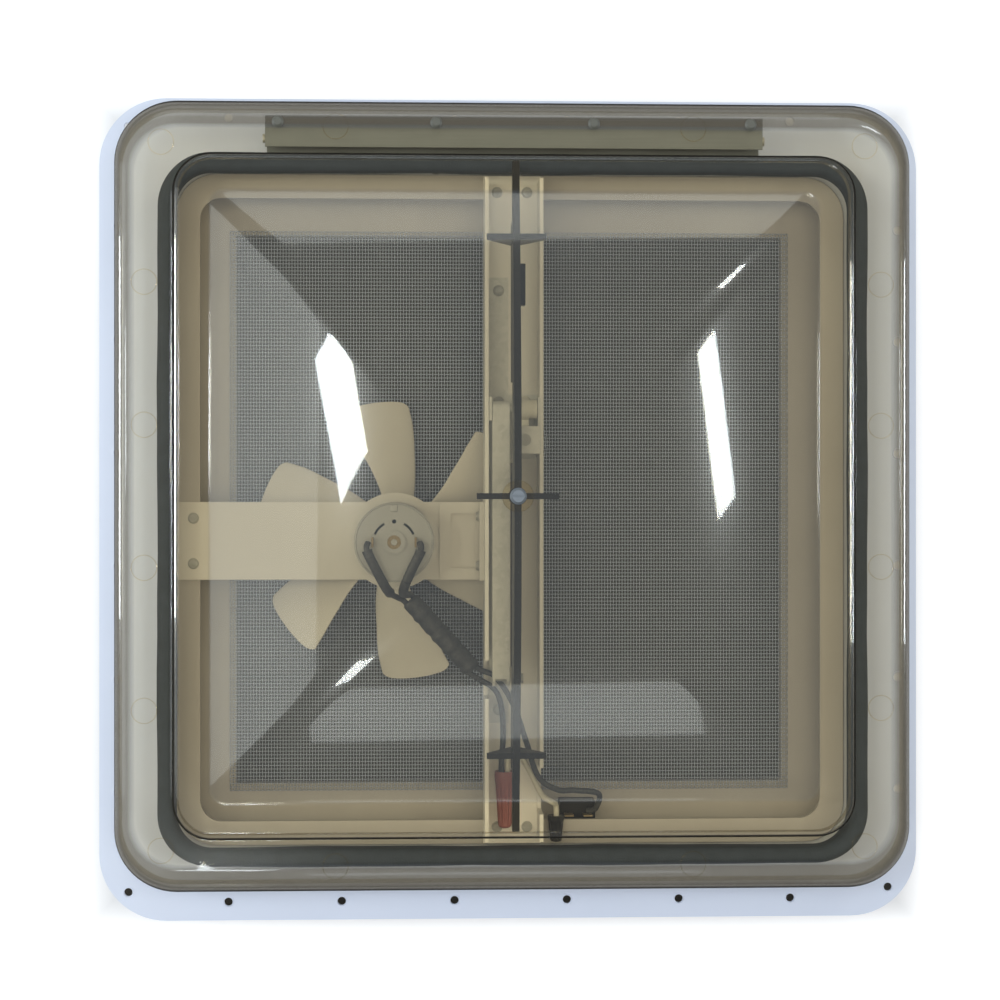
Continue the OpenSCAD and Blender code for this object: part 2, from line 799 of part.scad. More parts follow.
module centre_beam() {
    wall_end = half_opening - (seal_w - sheet_t) / 2 - 1.5;
    foot_end = lip_out - 0.6;
    color(cream) difference() {
        union() {
            box([-beam_half, -foot_end, lip_z], [beam_half, foot_end, floor_z]);
            box([-beam_half, -wall_end, lip_z], [-beam_in, wall_end, beam_top]);
            box([beam_in, -wall_end, lip_z], [beam_half, wall_end, beam_top]);
        }
        z_rod(lip_z - 1, floor_z + 1, worm_x, worm_y, bush_r + bore_gap);
        beam_screw_places() translate([0, 0, -10]) cylinder(r = screw_r + screw_gap, h = 12);
        operator_rivet_places() translate([0, 0, -10]) cylinder(r = rivet_r + bore_gap, h = 12);
        bracket_side_places() translate([0, 0, -side_bore_back])
            cylinder(r = screw_r + bore_gap, h = side_bore_l);
        box([-beam_half - 1, left_notch_y[0], notch_z], [-beam_in + 1, left_notch_y[1], beam_top + 1]);
        box([beam_in - 1, right_notch_y[0], notch_z], [beam_half + 1, right_notch_y[1], beam_top + 1]);
    }
}

module beam_screws() {
    color(zinc) beam_screw_places() screw(screw_r, wall_t + lip_t + 2);
}

module fan_bracket() {
    foot_end = lip_out - 0.6;
    half_w = bracket_w / 2;
    pad_start = -fan_x + seat_r - 2;
    pad_z = can_z + 3;
    pocket_edge = 6;
    rib = 2.5;
    color(cream) difference() {
        union() {
            box([-foot_end, -fan_y - half_w, lip_z], [-beam_half, -fan_y + half_w, can_z]);
            translate(fan_at) z_rod(lip_z, can_z, 0, 0, seat_r);
            translate(fan_at) z_rod(lip_z, can_z + 5, 0, 0, motor_r + 2.7);
            box([pad_start, -fan_y - half_w, lip_z], [-beam_half, -fan_y + half_w, pad_z]);
            box([flange_plate_x, -fan_y - half_w, lip_z], [-beam_half, -fan_y + half_w, lip_z + 18]);
            for (s = [-1, 1])
                box([-lip_in + 1, -fan_y + s * (half_w - rib / 2) - rib / 2, lip_z - 3],
                    [-beam_half - 0.5, -fan_y + s * (half_w - rib / 2) + rib / 2, can_z]);
        }
        translate(fan_at) z_rod(can_z, can_z + 20, 0, 0, motor_r + 0.1);
        translate(fan_at) z_rod(lip_z - 1, can_z + 1, 0, 0, nose_r + 0.1);
        box([pad_start + pocket_edge, -fan_y - half_w + pocket_edge, can_z],
            [flange_plate_x - 2, -fan_y + half_w - pocket_edge, pad_z + 1]);
        for (s = [-1, 1]) {
            translate(fan_at) z_rod(lip_z - 1, can_z + 1, 0, s * motor_screw_y, motor_screw_r + bore_gap);
            z_rod(lip_z - 1, can_z + 1, -ledge_screw_y, -fan_y + s * bracket_screw_y, screw_r + screw_gap);
        }
        bracket_side_places() translate([0, 0, -side_bore_back])
            cylinder(r = screw_r + screw_gap, h = side_bore_l);
    }
}

module bracket_screws() {
    color(zinc) {
        for (s = [-1, 1])
            translate([-ledge_screw_y, -fan_y + s * bracket_screw_y, can_z])
                screw(screw_r, wall_t + lip_t + 2);
        bracket_side_places() screw(screw_r, wall_t + beam_t + 1);
    }
}

// Motor and fan

module motor_can() {
    color(motor_grey) translate(fan_at) difference() {
        union() {
            z_rod(can_z, can_top, 0, 0, motor_r);
            z_rod(lip_z, can_z + 1, 0, 0, nose_r);
        }
        difference() {
            z_rod(can_z + 1.5, can_top + 1, 0, 0, motor_r - can_t);
            z_rod(can_z, can_z + 4, 0, 0, nose_r);
        }
        z_rod(lip_z - 1, can_z + 5, 0, 0, motor_bush_r + bore_gap);
        for (s = [-1, 1]) z_rod(can_z - 1, can_z + 2, 0, s * motor_screw_y, motor_screw_r + bore_gap);
    }
}

module motor_end_cap() {
    spigot_r = motor_r - can_t - bore_gap;
    color(motor_grey) translate(fan_at) difference() {
        union() {
            z_rod(can_top, cap_top, 0, 0, motor_r);
            z_rod(can_top - 3, cap_top, 0, 0, spigot_r);
            z_rod(cap_top, cap_top + 1.5, 0, 0, nose_r);
        }
        difference() {
            z_rod(can_top - 4, can_top, 0, 0, spigot_r - 1.5);
            z_rod(can_top - 1, can_top + 1, 0, 0, nose_r);
        }
        z_rod(can_top - 5, cap_top + 3, 0, 0, motor_bush_r + bore_gap);
        for (s = [-1, 1])
            box([s * tab_x - 0.55, -2.55, can_top - 5], [s * tab_x + 0.55, 2.55, cap_top + 1]);
        for (start = [cap_slot_start, 180 - cap_slot_start - cap_slot_span])
            rotate(start) translate([0, 0, can_top - 1]) rotate_extrude(angle = cap_slot_span)
                translate([cap_slot_r, 0]) square([cap_slot_w, cap_t + 2]);
        z_rod(can_top - 1, cap_top + 1, 0, cap_slot_r + cap_slot_w / 2, cap_hole_r);
    }
}

module motor_magnets() {
    color(ferrite) translate(fan_at + [0, 0, can_z + magnet_low])
        for (k = [0, 1]) rotate(180 * k + 25) rotate_extrude(angle = 130)
            translate([motor_r - can_t - magnet_t, 0]) square([magnet_t - bore_gap, magnet_l]);
}

module motor_bushes() {
    color(bronze) translate(fan_at) {
        difference() {
            z_rod(lip_z, can_z + 4, 0, 0, motor_bush_r);
            z_rod(lip_z - 1, can_z + 5, 0, 0, motor_shaft_r + bore_gap);
        }
        difference() {
            z_rod(can_top - 1, cap_top + 1.5, 0, 0, motor_bush_r);
            z_rod(can_top - 2, cap_top + 3, 0, 0, motor_shaft_r + bore_gap);
        }
    }
}

module motor_brushes() {
    color(carbon) translate(fan_at) for (s = [0, 1]) rotate(180 * s)
        box([5.1, -2, brush_z - 2], [tab_x - 0.5, 2, brush_z + 2]);
}

module motor_terminals() {
    color(bronze) translate(fan_at) for (s = [-1, 1])
        box([s * tab_x - 0.5, -2.5, brush_z - 2.5], [s * tab_x + 0.5, 2.5, tab_top]);
}

module motor_screws() {
    color(zinc) translate(fan_at) for (s = [-1, 1])
        translate([0, s * motor_screw_y, lip_z]) rotate([180, 0, 0]) screw(motor_screw_r, wall_t + 2.5);
}

module motor_shaft() {
    color(zinc) translate(fan_at) z_rod(shaft_low, cap_top + 1, 0, 0, motor_shaft_r);
}

module armature() {
    color(steel_grey) translate(fan_at) difference() {
        union() {
            z_rod(can_z + 7, can_top - 11, 0, 0, motor_r - can_t - 4.2);
            z_rod(can_z + 5, can_top - 9, 0, 0, motor_r - can_t - 7);
            z_rod(can_top - 9, can_top - 2, 0, 0, 5);
        }
        z_rod(can_z, can_top, 0, 0, motor_shaft_r + bore_gap);
        for (k = [0:7]) rotate(45 * k) box([motor_r - can_t - 5.5, -0.8, can_z], [motor_r, 0.8, can_top]);
    }
}

// Blade seen flat, along +X: narrow at the neck, widest short of its round-cornered tip
module blade_outline() {
    wide_r = fan_r - 4;
    tip_r = fan_r + 4;
    corner = 2.5;
    polygon([
        [blade_root_r, -blade_root_r], [blade_neck_r, -blade_neck_lead], [wide_r, -blade_tip_lead],
        [tip_r, corner - blade_tip_lead], [tip_r, blade_tip_trail - corner], [wide_r, blade_tip_trail],
        [(wide_r + blade_neck_r) / 2, (blade_tip_trail + blade_neck_trail) / 2 - corner / 2],
        [blade_neck_r, blade_neck_trail], [blade_root_r, blade_neck_trail]
    ]);
}

module fan_rotor() {
    color(cream) translate(fan_at) difference() {
        union() {
            z_rod(fan_hub_low, fan_hub_top, 0, 0, fan_hub_r);
            intersection() {
                z_rod(fan_mid_z - 12, fan_mid_z + 12, 0, 0, fan_r);
                for (k = [0:fan_blades - 1]) rotate(blade_angle + 360 * k / fan_blades)
                    translate([0, 0, fan_mid_z]) rotate([blade_pitch, 0, 0])
                        translate([0, 0, -blade_t / 2]) linear_extrude(blade_t) blade_outline();
            }
        }
        z_rod(fan_hub_low - 1, fan_hub_top + 1, 0, 0, motor_shaft_r + bore_gap);
    }
}

module fan_nut() {
    color(zinc) translate(fan_at) difference() {
        z_rod(fan_hub_low - fan_nut_h, fan_hub_low, 0, 0, 4.5);
        z_rod(fan_hub_low - 5, fan_hub_low + 1, 0, 0, motor_shaft_r + bore_gap);
    }
}

// Lift arm, gear train and crank

module operator_bracket() {
    ear_half = 6;
    tower_half = 7;
    color(zinc) difference() {
        union() {
            box([-ear_out, plate_front, floor_z], [ear_out, plate_back, floor_z + plate_t]);
            box([strip_left, strip_front, floor_z], [strip_right, strip_back, floor_z + plate_t]);
            for (x = [-ear_out, ear_out - ear_t])
                box([x, pivot_y - ear_half, floor_z], [x + ear_t, pivot_y + ear_half, hinge_z + 5]);
            box([ear_out - ear_t, worm_y - tower_half, floor_z], [ear_out, pivot_y, hinge_z + 5]);
            for (low = [[ear_out - ear_t, floor_z], [worm_x - 6, bridge_z]])
                box([low[0], worm_y - tower_half, low[1]],
                    [ear_out, worm_y + tower_half, bridge_z + bridge_t]);
        }
        x_rod(-beam_half, beam_half, pivot_y, hinge_z, arm_shaft_r + bore_gap);
        z_rod(bridge_z - 1, bridge_z + bridge_t + 1, worm_x, worm_y, crank_shaft_r + bore_gap);
        z_rod(floor_z - 1, floor_z + plate_t + 1, worm_x, worm_y, bush_r + bore_gap);
        operator_rivet_places() translate([0, 0, -10]) cylinder(r = rivet_r + bore_gap, h = 12);
    }
}

module operator_rivets() {
    color(zinc) operator_rivet_places() rivet(rivet_r, plate_t + wall_t);
}

module crank_bush() {
    color(nylon) difference() {
        union() {
            z_rod(bush_low, floor_z + plate_t + 1, worm_x, worm_y, bush_r);
            z_rod(bush_low, lip_z, worm_x, worm_y, bush_r + 2.5);
        }
        z_rod(bush_low - 1, floor_z + plate_t + 2, worm_x, worm_y, crank_shaft_r + bore_gap);
    }
}

module lift_arm() {
    color(zinc) difference() {
        union() {
            along_x(arm_left, arm_left + arm_wall) capsule(tip_y, pivot_y, hinge_z, arm_end_r);
            along_x(arm_right - arm_wall, arm_right) capsule(tip_y, pivot_y, hinge_z, arm_end_r);
            box([arm_left, tip_y, hinge_z + arm_end_r - arm_wall], [arm_right, pivot_y, hinge_z + arm_end_r]);
            x_rod(arm_left, arm_right, pivot_y, hinge_z, arm_end_r);
        }
        x_rod(arm_left - 1, arm_right + 1, pivot_y, hinge_z, arm_shaft_r + bore_gap);
        x_rod(arm_left - 1, arm_right + 1, tip_y, hinge_z, 1.5 + bore_gap);
    }
}

module arm_shaft() {
    color(zinc) x_rod(-ear_out, ear_out, pivot_y, hinge_z, arm_shaft_r);
}

// Wheel teeth stand below the worm's level at rest and climb past it as the arm lifts
module sector_outline() {
    step = 360 / gear_teeth;
    teeth = ceil(2 * lid_open / step) + 1;
    slope = tan(20);
    root_w = tooth_t + 2 * (gear_r - gear_root) * slope;
    tip_w = tooth_t - 2 * gear_module * slope;
    reach = 2 * gear_root;
    circle(6);
    intersection() {
        circle(gear_root);
        polygon([
            [0, 0],
            for (a = [180 - 1.5 * step : 2 * step : 180 + (teeth + 2) * step]) reach * [cos(a), sin(a)]
        ]);
    }
    for (k = [-1:teeth]) rotate(180 + k * step)
        polygon([[gear_root - 1, -root_w / 2], [gear_root, -root_w / 2], [gear_tip, -tip_w / 2],
            [gear_tip, tip_w / 2], [gear_root, root_w / 2], [gear_root - 1, root_w / 2]]);
}

module sector_gear() {
    color(nylon) difference() {
        union() {
            along_x(worm_x - gear_w / 2, worm_x + gear_w / 2) translate([pivot_y, hinge_z]) sector_outline();
            x_rod(worm_x, ear_out - ear_t - free_gap, pivot_y, hinge_z, 5);
        }
        x_rod(-beam_half, beam_half, pivot_y, hinge_z, arm_shaft_r + bore_gap);
    }
}

module slider_pin() {
    color(zinc) {
        x_rod(arm_left, rail_half + 1.7, tip_y, hinge_z, 1.5);
        x_rod(rail_half + 1.7, rail_half + 2.7, tip_y, hinge_z, 2.6);
    }
}

module slider_block() {
    color(nylon) difference() {
        union() {
            box([arm_right + free_gap, tip_y - slider_half_l, hinge_z - slider_half_h],
                [rail_half + free_gap, tip_y + slider_half_l, hinge_z + slider_half_h]);
            box([rail_half + free_gap, tip_y - slider_half_l - 2, hinge_z - 4.5],
                [rail_half + free_gap + 1, tip_y + slider_half_l + 2, hinge_z + 4.5]);
        }
        x_rod(arm_right - 1, rail_half + 3, tip_y, hinge_z, 1.5 + bore_gap);
    }
}

module worm() {
    turns = 4;
    step = 20;
    slope = tan(20);
    root_w = tooth_t + 2 * (worm_r - worm_root) * slope;
    tip_w = tooth_t - 2 * gear_module * slope;
    foot_r = worm_root - 0.4;
    section = [[foot_r, -root_w / 2], [worm_tip, -tip_w / 2], [worm_tip, tip_w / 2], [foot_r, root_w / 2]];
    // The thread's gap faces the wheel at the hinge line's level
    start_z = hinge_z - (turns / 2) * worm_lead - worm_lead * 90 / 360 + worm_lead / 2;
    color(zinc) translate([worm_x, worm_y, 0]) difference() {
        union() {
            z_rod(hinge_z - worm_len / 2, hinge_z + worm_len / 2, 0, 0, worm_root);
            skin([for (a = [0:step:360 * turns])
                [for (p = section) [p[0] * cos(a), p[0] * sin(a), start_z + worm_lead * a / 360 + p[1]]]]);
        }
        z_rod(hinge_z - worm_len, hinge_z + worm_len, 0, 0, crank_shaft_r + bore_gap);
    }
}

module crank_shaft() {
    color(zinc) difference() {
        union() {
            z_rod(lever_z + 3, bridge_z + bridge_t, worm_x, worm_y, crank_shaft_r);
            z_rod(hinge_z + worm_len / 2, bridge_z - free_gap, worm_x, worm_y, crank_shaft_r + 1.2);
        }
        z_rod(lever_z, lever_z + 13, worm_x, worm_y, screw_r + bore_gap);
    }
}

module crank_handle() {
    color(cream) difference() {
        union() {
            z_rod(lever_z, crank_z, worm_x, worm_y, hub_r);
            translate([worm_x, worm_y, lever_z]) rotate(-90) linear_extrude(lever_t)
                capsule(0, crank_l, 0, lever_half_w);
        }
        z_rod(lever_z + 3, crank_z + 1, worm_x, worm_y, crank_shaft_r + bore_gap);
        z_rod(lever_z - 1, lever_z + 4, worm_x, worm_y, screw_r + bore_gap);
        z_rod(lever_z - 1, crank_z, worm_x, knob_y, knob_pin_r + bore_gap);
    }
}

module crank_screw() {
    color(zinc) translate([worm_x, worm_y, lever_z]) rotate([180, 0, 0]) screw(screw_r, 11);
}

module knob_pin() {
    color(zinc) {
        z_rod(knob_low - free_gap, lever_z + lever_t, worm_x, knob_y, knob_pin_r);
        z_rod(lever_z + lever_t, lever_z + lever_t + 1.5, worm_x, knob_y, knob_pin_r + 1.5);
        z_rod(knob_low - free_gap - 1.2, knob_low - free_gap, worm_x, knob_y, knob_pin_r + 1.5);
    }
}

module crank_knob() {
    r = knob_d / 2;
    color(cream) translate([worm_x, knob_y, 0]) difference() {
        union() {
            z_rod(knob_low + 3, knob_top - 2, 0, 0, r);
            translate([0, 0, knob_low]) cylinder(r1 = r - 2, r2 = r, h = 3);
            translate([0, 0, knob_top - 2]) cylinder(r1 = r, r2 = r - 2, h = 2);
        }
        z_rod(knob_low - 1, knob_top + 1, 0, 0, knob_pin_r + bore_gap);
    }
}

// Lid, its hinge leaf and its rail

// Half section of a plate's edge, u from the corner's centre outwards
module edge_section(r, z0, z1, round_r) {
    translate([0, z0]) square([r, z1 - round_r - z0]);
    translate([0, z0]) square([r - round_r, z1 - z0]);
    intersection() {
        translate([r - round_r, z1 - round_r]) circle(round_r);
        translate([r - round_r, z1 - round_r]) square(round_r);
    }
}

// Square plate with round corners and a rounded top edge
module soft_plate(half, r, z0, z1, round_r) {
    reach = half - r;
    translate([-reach, -reach, z0]) cube([2 * reach, 2 * reach, z1 - z0]);
    for (k = [0:3]) rotate(90 * k) translate([reach, reach, 0]) {
        rotate([90, 0, 0]) linear_extrude(2 * reach) edge_section(r, z0, z1, round_r);
        rotate_extrude(angle = 90) edge_section(r, z0, z1, round_r);
    }
}

// Vault over the square: two crossed cylinders, cut at z0
module vault(r, z0) {
    intersection() {
        translate([-crown_half - 1, -crown_half - 1, z0]) cube([2 * crown_half + 2, 2 * crown_half + 2, 100]);
        x_rod(-half_opening, half_opening, 0, crown_axis_z, r, $fn = 240);
        y_rod(-half_opening, half_opening, 0, crown_axis_z, r, $fn = 240);
    }
}

module ejector_mark_places() {
    edge = lid_half - 14;
    at_corners(lid_half - 22) children();
    for (s = [-1, 1]) {
        for (k = [-1.5:1:1.5]) translate([s * edge, k * 73, 0]) children();
        for (k = [-1, 1]) translate([k * 92, s * edge, 0]) children();
    }
}

// Raised panel and vaulted crown, standing on the step
module lid_shell() {
    color(smoke) translate([0, lid_shift, 0]) difference() {
        union() {
            soft_plate(panel_half, panel_corner_r, step_z, panel_z, panel_round);
            vault(crown_r, panel_z - 1);
        }
        difference() {
            union() {
                soft_plate(panel_in, panel_in_r, step_z - 1, panel_under, panel_round - lid_t);
                vault(crown_in_r, panel_under - 1);
            }
            z_rod(crown_under - boss_h, crown_under + 1, 0, 0, boss_r);
        }
        z_rod(panel_z, crown_z + 1, 0, 0, crown_screw_r + bore_gap);
    }
}

// Flat step round the panel, with the rounded rim and its skirt
module lid_rim() {
    color(smoke) difference() {
        translate([0, lid_shift, 0]) difference() {
            soft_plate(lid_half, lid_corner_r, skirt_z, step_z, rim_round);
            difference() {
                soft_plate(lid_half - lid_t, lid_corner_r - lid_t,
                    skirt_z - 1, step_under, rim_round - lid_t);
                ejector_mark_places() z_rod(step_under - mark_h, step_under + 1, 0, 0, mark_d / 2);
            }
            translate([0, 0, step_under - 1]) linear_extrude(lid_t + 2)
                rounded_square(2 * panel_in, panel_in_r);
        }
        for (x = leaf_rivet_x) z_rod(step_under - 2, step_z + 1, x, leaf_rivet_y, rivet_r + bore_gap);
    }
}

module lid_hinge_leaf() {
    span = knuckle_pitch - knuckle_gap;
    color(steel_grey) difference() {
        union() {
            box([-hinge_l / 2, leaf_front, leaf_z], [hinge_l / 2, leaf_back, leaf_z + leaf_t]);
            knuckle_row(0) union() {
                box([0, hinge_y - leaf_t / 2, hinge_z], [span, hinge_y + leaf_t / 2, leaf_z + leaf_t / 2]);
                x_rod(0, span, hinge_y, hinge_z, knuckle_r);
            }
        }
        x_rod(-hinge_l, hinge_l, hinge_y, hinge_z, hinge_pin_r + bore_gap);
        for (x = leaf_rivet_x) z_rod(leaf_z - 1, leaf_z + leaf_t + 1, x, leaf_rivet_y, rivet_r + bore_gap);
    }
}

module lid_hinge_rivets() {
    color(zinc) for (x = leaf_rivet_x) translate([x, leaf_rivet_y, step_z]) rivet(rivet_r, step_z - leaf_z);
}

// Rail blade in Y and Z: deep at the gussets, deepest round the slot, cut away over the gear train
module rail_outline() {
    over_front = slot_back + lug_edge;
    over_back = plate_back + lug_edge;
    front_edge = max(rail_front, front_gusset_y - gusset_edge);
    tall = 2 * crown_z;
    difference() {
        intersection() {
            union() {
                translate([rail_front, rail_shallow]) square([rail_back - rail_front, tall]);
                translate([over_back, rail_deep]) square([rear_gusset_y + gusset_edge - over_back, tall]);
                translate([slot_front - lug_edge, lug_low])
                    square([over_front - slot_front + lug_edge, tall]);
                translate([front_edge, rail_deep]) square([slot_front - front_edge, tall]);
            }
            union() {
                translate([rail_front, 0]) square([rail_back - rail_front, panel_under - free_gap]);
                translate([lid_shift, crown_axis_z]) circle(rail_top_r, $fn = 240);
            }
        }
        translate([over_front, 0]) square([over_back - over_front, rail_over]);
        translate([slot_front, hinge_z - slot_half_h]) square([slot_back - slot_front, 2 * slot_half_h]);
    }
}

// Level just below the lid's inner face, over a gusset at y
function under_lid(y) = max(
    panel_under - free_gap,
    crown_axis_z + sqrt(pow(rail_top_r, 2) - pow(abs(y - lid_shift) + gusset_t, 2))
);

module gusset(y, w, low, top) {
    lip = 2;
    along_y(y - gusset_t / 2, y + gusset_t / 2)
        polygon([
            [-rail_half, low], [rail_half, low], [w / 2, top - lip],
            [w / 2, top], [-w / 2, top], [-w / 2, top - lip]
        ]);
}

module lid_rail() {
    boss_low = crown_under - boss_h;
    color(black_paint) difference() {
        union() {
            difference() {
                along_x(-rail_half, rail_half) rail_outline();
                z_rod(boss_low, crown_z, 0, lid_shift, boss_r + 0.5);
            }
            for (y = [front_gusset_y, rear_gusset_y]) gusset(y, gusset_w, rail_deep, under_lid(y));
            gusset(lid_shift, middle_gusset_w, hinge_z + 12, boss_low - 0.2);
            z_rod(boss_low - rail_post_h, boss_low, 0, lid_shift, rail_post_r);
            box([0, rear_gusset_y - 34, rail_shallow], [rail_half + 3, rear_gusset_y - 13, rail_shallow + 8]);
        }
        z_rod(boss_low - 10, crown_z, 0, lid_shift, crown_screw_r + bore_gap);
    }
}

module crown_screw() {
    color(black_paint) translate([0, lid_shift, crown_z]) screw(crown_screw_r, lid_t + boss_h + 9);
}

// Switch, leads and wire nuts

module switch_body() {
    color(switch_black) translate([switch_at[0], switch_at[1], 0]) difference() {
        union() {
            box([-switch_l / 2, -switch_w / 2, switch_low], [switch_l / 2, switch_w / 2, switch_top]);
            box([-switch_l / 2 - 1, -switch_w / 2 - bezel_edge, switch_low],
                [switch_l / 2 + 1, switch_w / 2 + bezel_edge, switch_low + bezel_t]);
        }
        box([-rocker_l / 2 - 0.8, -rocker_w / 2 - 0.4, switch_low - 1],
            [rocker_l / 2 + 0.8, rocker_w / 2 + 0.4, rocker_pivot_z + 5]);
        y_rod(-rocker_pin_l - 0.1, rocker_pin_l + 0.1, 0, rocker_pivot_z, rocker_pin_r + bore_gap);
    }
}

module switch_terminals() {
    color(bronze) for (s = [-1, 1])
        translate([switch_at[0] + s * terminal_pitch / 2, switch_at[1], 0])
            box([-2.4, -0.4, switch_top], [2.4, 0.4, switch_top + 8]);
}

module switch_rocker() {
    color(switch_black) translate([switch_at[0], switch_at[1], rocker_pivot_z]) rotate([0, -rocker_tilt, 0]) {
        along_y(-rocker_w / 2, rocker_w / 2)
            polygon([
                [-rocker_l / 2, -3], [0, -2], [rocker_l / 2, -3], [rocker_l / 2 - 1, 3], [1 - rocker_l / 2, 3]
            ]);
        y_rod(-rocker_pin_l, rocker_pin_l, 0, 0, rocker_pin_r);
    }
}

module motor_lead_left() {
    color(rubber_black) lead(left_lead_points);
}

module motor_lead_right() {
    color(rubber_black) lead(right_lead_points);
}

module white_lead() {
    color(nylon) lead(white_lead_points);
}

module terminal_sleeves() {
    color(rubber_black) {
        shrink_sleeve(left_lead_points, 3, 7);
        shrink_sleeve(right_lead_points, 3, 7);
    }
}

module lead_sleeve() {
    color(rubber_black) difference() {
        rod(sleeve_a, sleeve_b, sleeve_r);
        rod(sleeve_a - sleeve_dir, sleeve_b + sleeve_dir, sleeve_bore);
    }
}

// Wire nut with its mouth towards +Y
module wire_nut(at, l, r, bore, bore_l) {
    translate(at) rotate([90, 0, 0]) difference() {
        union() {
            cylinder(r = r, h = l * 0.2);
            translate([0, 0, l * 0.2]) cylinder(r1 = r, r2 = r * 0.62, h = l * 0.8);
        }
        translate([0, 0, -1]) cylinder(r = bore, h = bore_l + 1);
    }
}

module red_wire_nut() {
    color(nut_red) wire_nut([nut_x, nut_y, nut_z], nut_l, nut_r, nut_bore, nut_depth);
}

module dark_wire_nut() {
    color(rubber_black) wire_nut(dark_nut_at, dark_nut_l, dark_nut_r, lead_r + 0.4, dark_nut_depth);
}

base_frame();
collar_seal();
base_hinge_leaf();
base_hinge_rivets();
hinge_pin();
inner_frame();
frame_lip();
screen_ledge();
frame_screws();
insect_screen();
screen_grommet();
ceiling_trim();
trim_screws();
centre_beam();
beam_screws();
fan_bracket();
bracket_screws();
motor_can();
motor_end_cap();
motor_magnets();
motor_bushes();
motor_brushes();
motor_terminals();
motor_screws();
motor_shaft();
armature();
fan_rotor();
fan_nut();
operator_bracket();
operator_rivets();
crank_bush();
lift_arm();
arm_shaft();
sector_gear();
slider_pin();
slider_block();
worm();
crank_shaft();
crank_handle();
crank_screw();
knob_pin();
crank_knob();
lid_shell();
lid_rim();
lid_hinge_leaf();
lid_hinge_rivets();
lid_rail();
crown_screw();
switch_body();
switch_terminals();
switch_rocker();
motor_lead_left();
motor_lead_right();
white_lead();
terminal_sleeves();
lead_sleeve();
red_wire_nut();
dark_wire_nut();
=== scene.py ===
"""Caravan roof vent with a smoke lid and a small fan, dressed for a straight-down studio view."""

import math

import bmesh
import bpy
import numpy as np
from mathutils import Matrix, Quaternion, Vector


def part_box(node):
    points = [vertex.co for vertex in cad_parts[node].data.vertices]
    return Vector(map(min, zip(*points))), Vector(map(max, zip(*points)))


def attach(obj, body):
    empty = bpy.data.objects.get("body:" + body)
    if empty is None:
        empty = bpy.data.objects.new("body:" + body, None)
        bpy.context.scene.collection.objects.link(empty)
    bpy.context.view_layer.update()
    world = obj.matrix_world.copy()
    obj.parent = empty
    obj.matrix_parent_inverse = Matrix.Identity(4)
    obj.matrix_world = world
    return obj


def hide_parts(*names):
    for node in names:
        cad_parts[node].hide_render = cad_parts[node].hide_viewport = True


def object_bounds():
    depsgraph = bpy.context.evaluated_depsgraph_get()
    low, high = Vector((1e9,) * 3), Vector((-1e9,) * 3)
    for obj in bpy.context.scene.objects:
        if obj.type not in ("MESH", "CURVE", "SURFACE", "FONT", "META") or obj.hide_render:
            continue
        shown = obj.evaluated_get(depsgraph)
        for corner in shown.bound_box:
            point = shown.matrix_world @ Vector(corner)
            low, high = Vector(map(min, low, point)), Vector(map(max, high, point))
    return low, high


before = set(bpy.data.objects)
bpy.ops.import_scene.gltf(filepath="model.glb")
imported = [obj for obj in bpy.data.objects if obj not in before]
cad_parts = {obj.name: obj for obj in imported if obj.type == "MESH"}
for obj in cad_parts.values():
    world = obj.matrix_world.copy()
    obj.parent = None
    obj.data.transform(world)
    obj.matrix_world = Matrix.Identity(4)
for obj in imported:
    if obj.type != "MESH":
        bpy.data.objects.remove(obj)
cad_low, cad_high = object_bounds()

# Sizes in millimetres, read from the solids where their boxes give them
MM = 0.001


def node_box(name):
    """Lowest and highest corner of a solid in millimetres."""
    low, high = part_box(name)
    return np.array(low) / MM, np.array(high) / MM


rim_low, rim_high = node_box("lid_rim")
crown_high = node_box("lid_shell")[1]
seal_low, seal_high = node_box("collar_seal")
net_low, net_high = node_box("insect_screen")
grommet_low, grommet_high = node_box("screen_grommet")
fan_low, fan_high = node_box("fan_rotor")
red_low, red_high = node_box("red_wire_nut")
dark_low, dark_high = node_box("dark_wire_nut")

# Lid: rim, step, raised panel and vaulted crown
LID_WALL = 2.5
RIM_ROUND = 8.0
RIM_CORNER = 32.0
PANEL_RISE = 12.0
PANEL_ROUND = 4.0
PANEL_CORNER = 20.0
PANEL_FOOT = 2.0
CROWN_INSET = 19.5
RIDGE_ROUND = 8.0
RIDGE_FADE = 30.0
CROWN_ROWS = 110
CREASE_SHARE = 0.1
BOSS_R = 8.0
BOSS_H = 2.0
BOSS_BEVEL = 0.5
CROWN_SCREW_R = 2.1
MARK_R = 6.5
MARK_LINE = 0.22
MARK_SINK = 0.05
MARK_CORNER_IN = 22.0
MARK_SIDE_IN = 13.5
MARK_PITCH = 73.0
MARK_END_X = 92.0

# Shares by which the step and the rim are spread along X and Y
STEP_SPREAD = (0.0164, -0.022)
RIM_SPREAD = (0.0115, 0.0)

# How much of the smoke plastic's own body shows, painted shade in the rim, the skirt and at the edges, and
# the share of a stretch where its edge turns dark
CROWN_DARK = 0.14
PANEL_DARK = 0.025
RIM_PAINTED_SHADE = 0.68
SKIRT_PAINTED_SHADE = 0.45
EDGE_PAINTED_SHADE = 0.9
RIM_EDGE_START = 0.68
PANEL_EDGE_START = 0.45
STEP_EDGE_START = 0.9
NO_EDGE = 1.0

lid_half = rim_high[0]
lid_y = (rim_low[1] + rim_high[1]) / 2
skirt_z, step_z = rim_low[2], rim_high[2]
panel_half, crown_z = crown_high[0], crown_high[2]

# Foam seal on the collar's edge
COLLAR_HALF = 178.75
COLLAR_CORNER = 22.75
COLLAR_EDGE_Z = 45.05
SEAL_SLOT = 0.85
SEAL_ROUND = 4.2
SEAL_WAVE = 0.35
SEAL_SLOW_WAVES = 9
SEAL_QUICK_WAVES = 23

# Woven screen
NET_PITCH = np.array([1.59, 1.93])
THREAD_R = 0.25
THREAD_WAVE = 0.24
THREAD_FLAT = 1.25
NET_HEM = 1.5
NET_OPEN_R = 16.0
GROMMET_BORE_R = 6.4

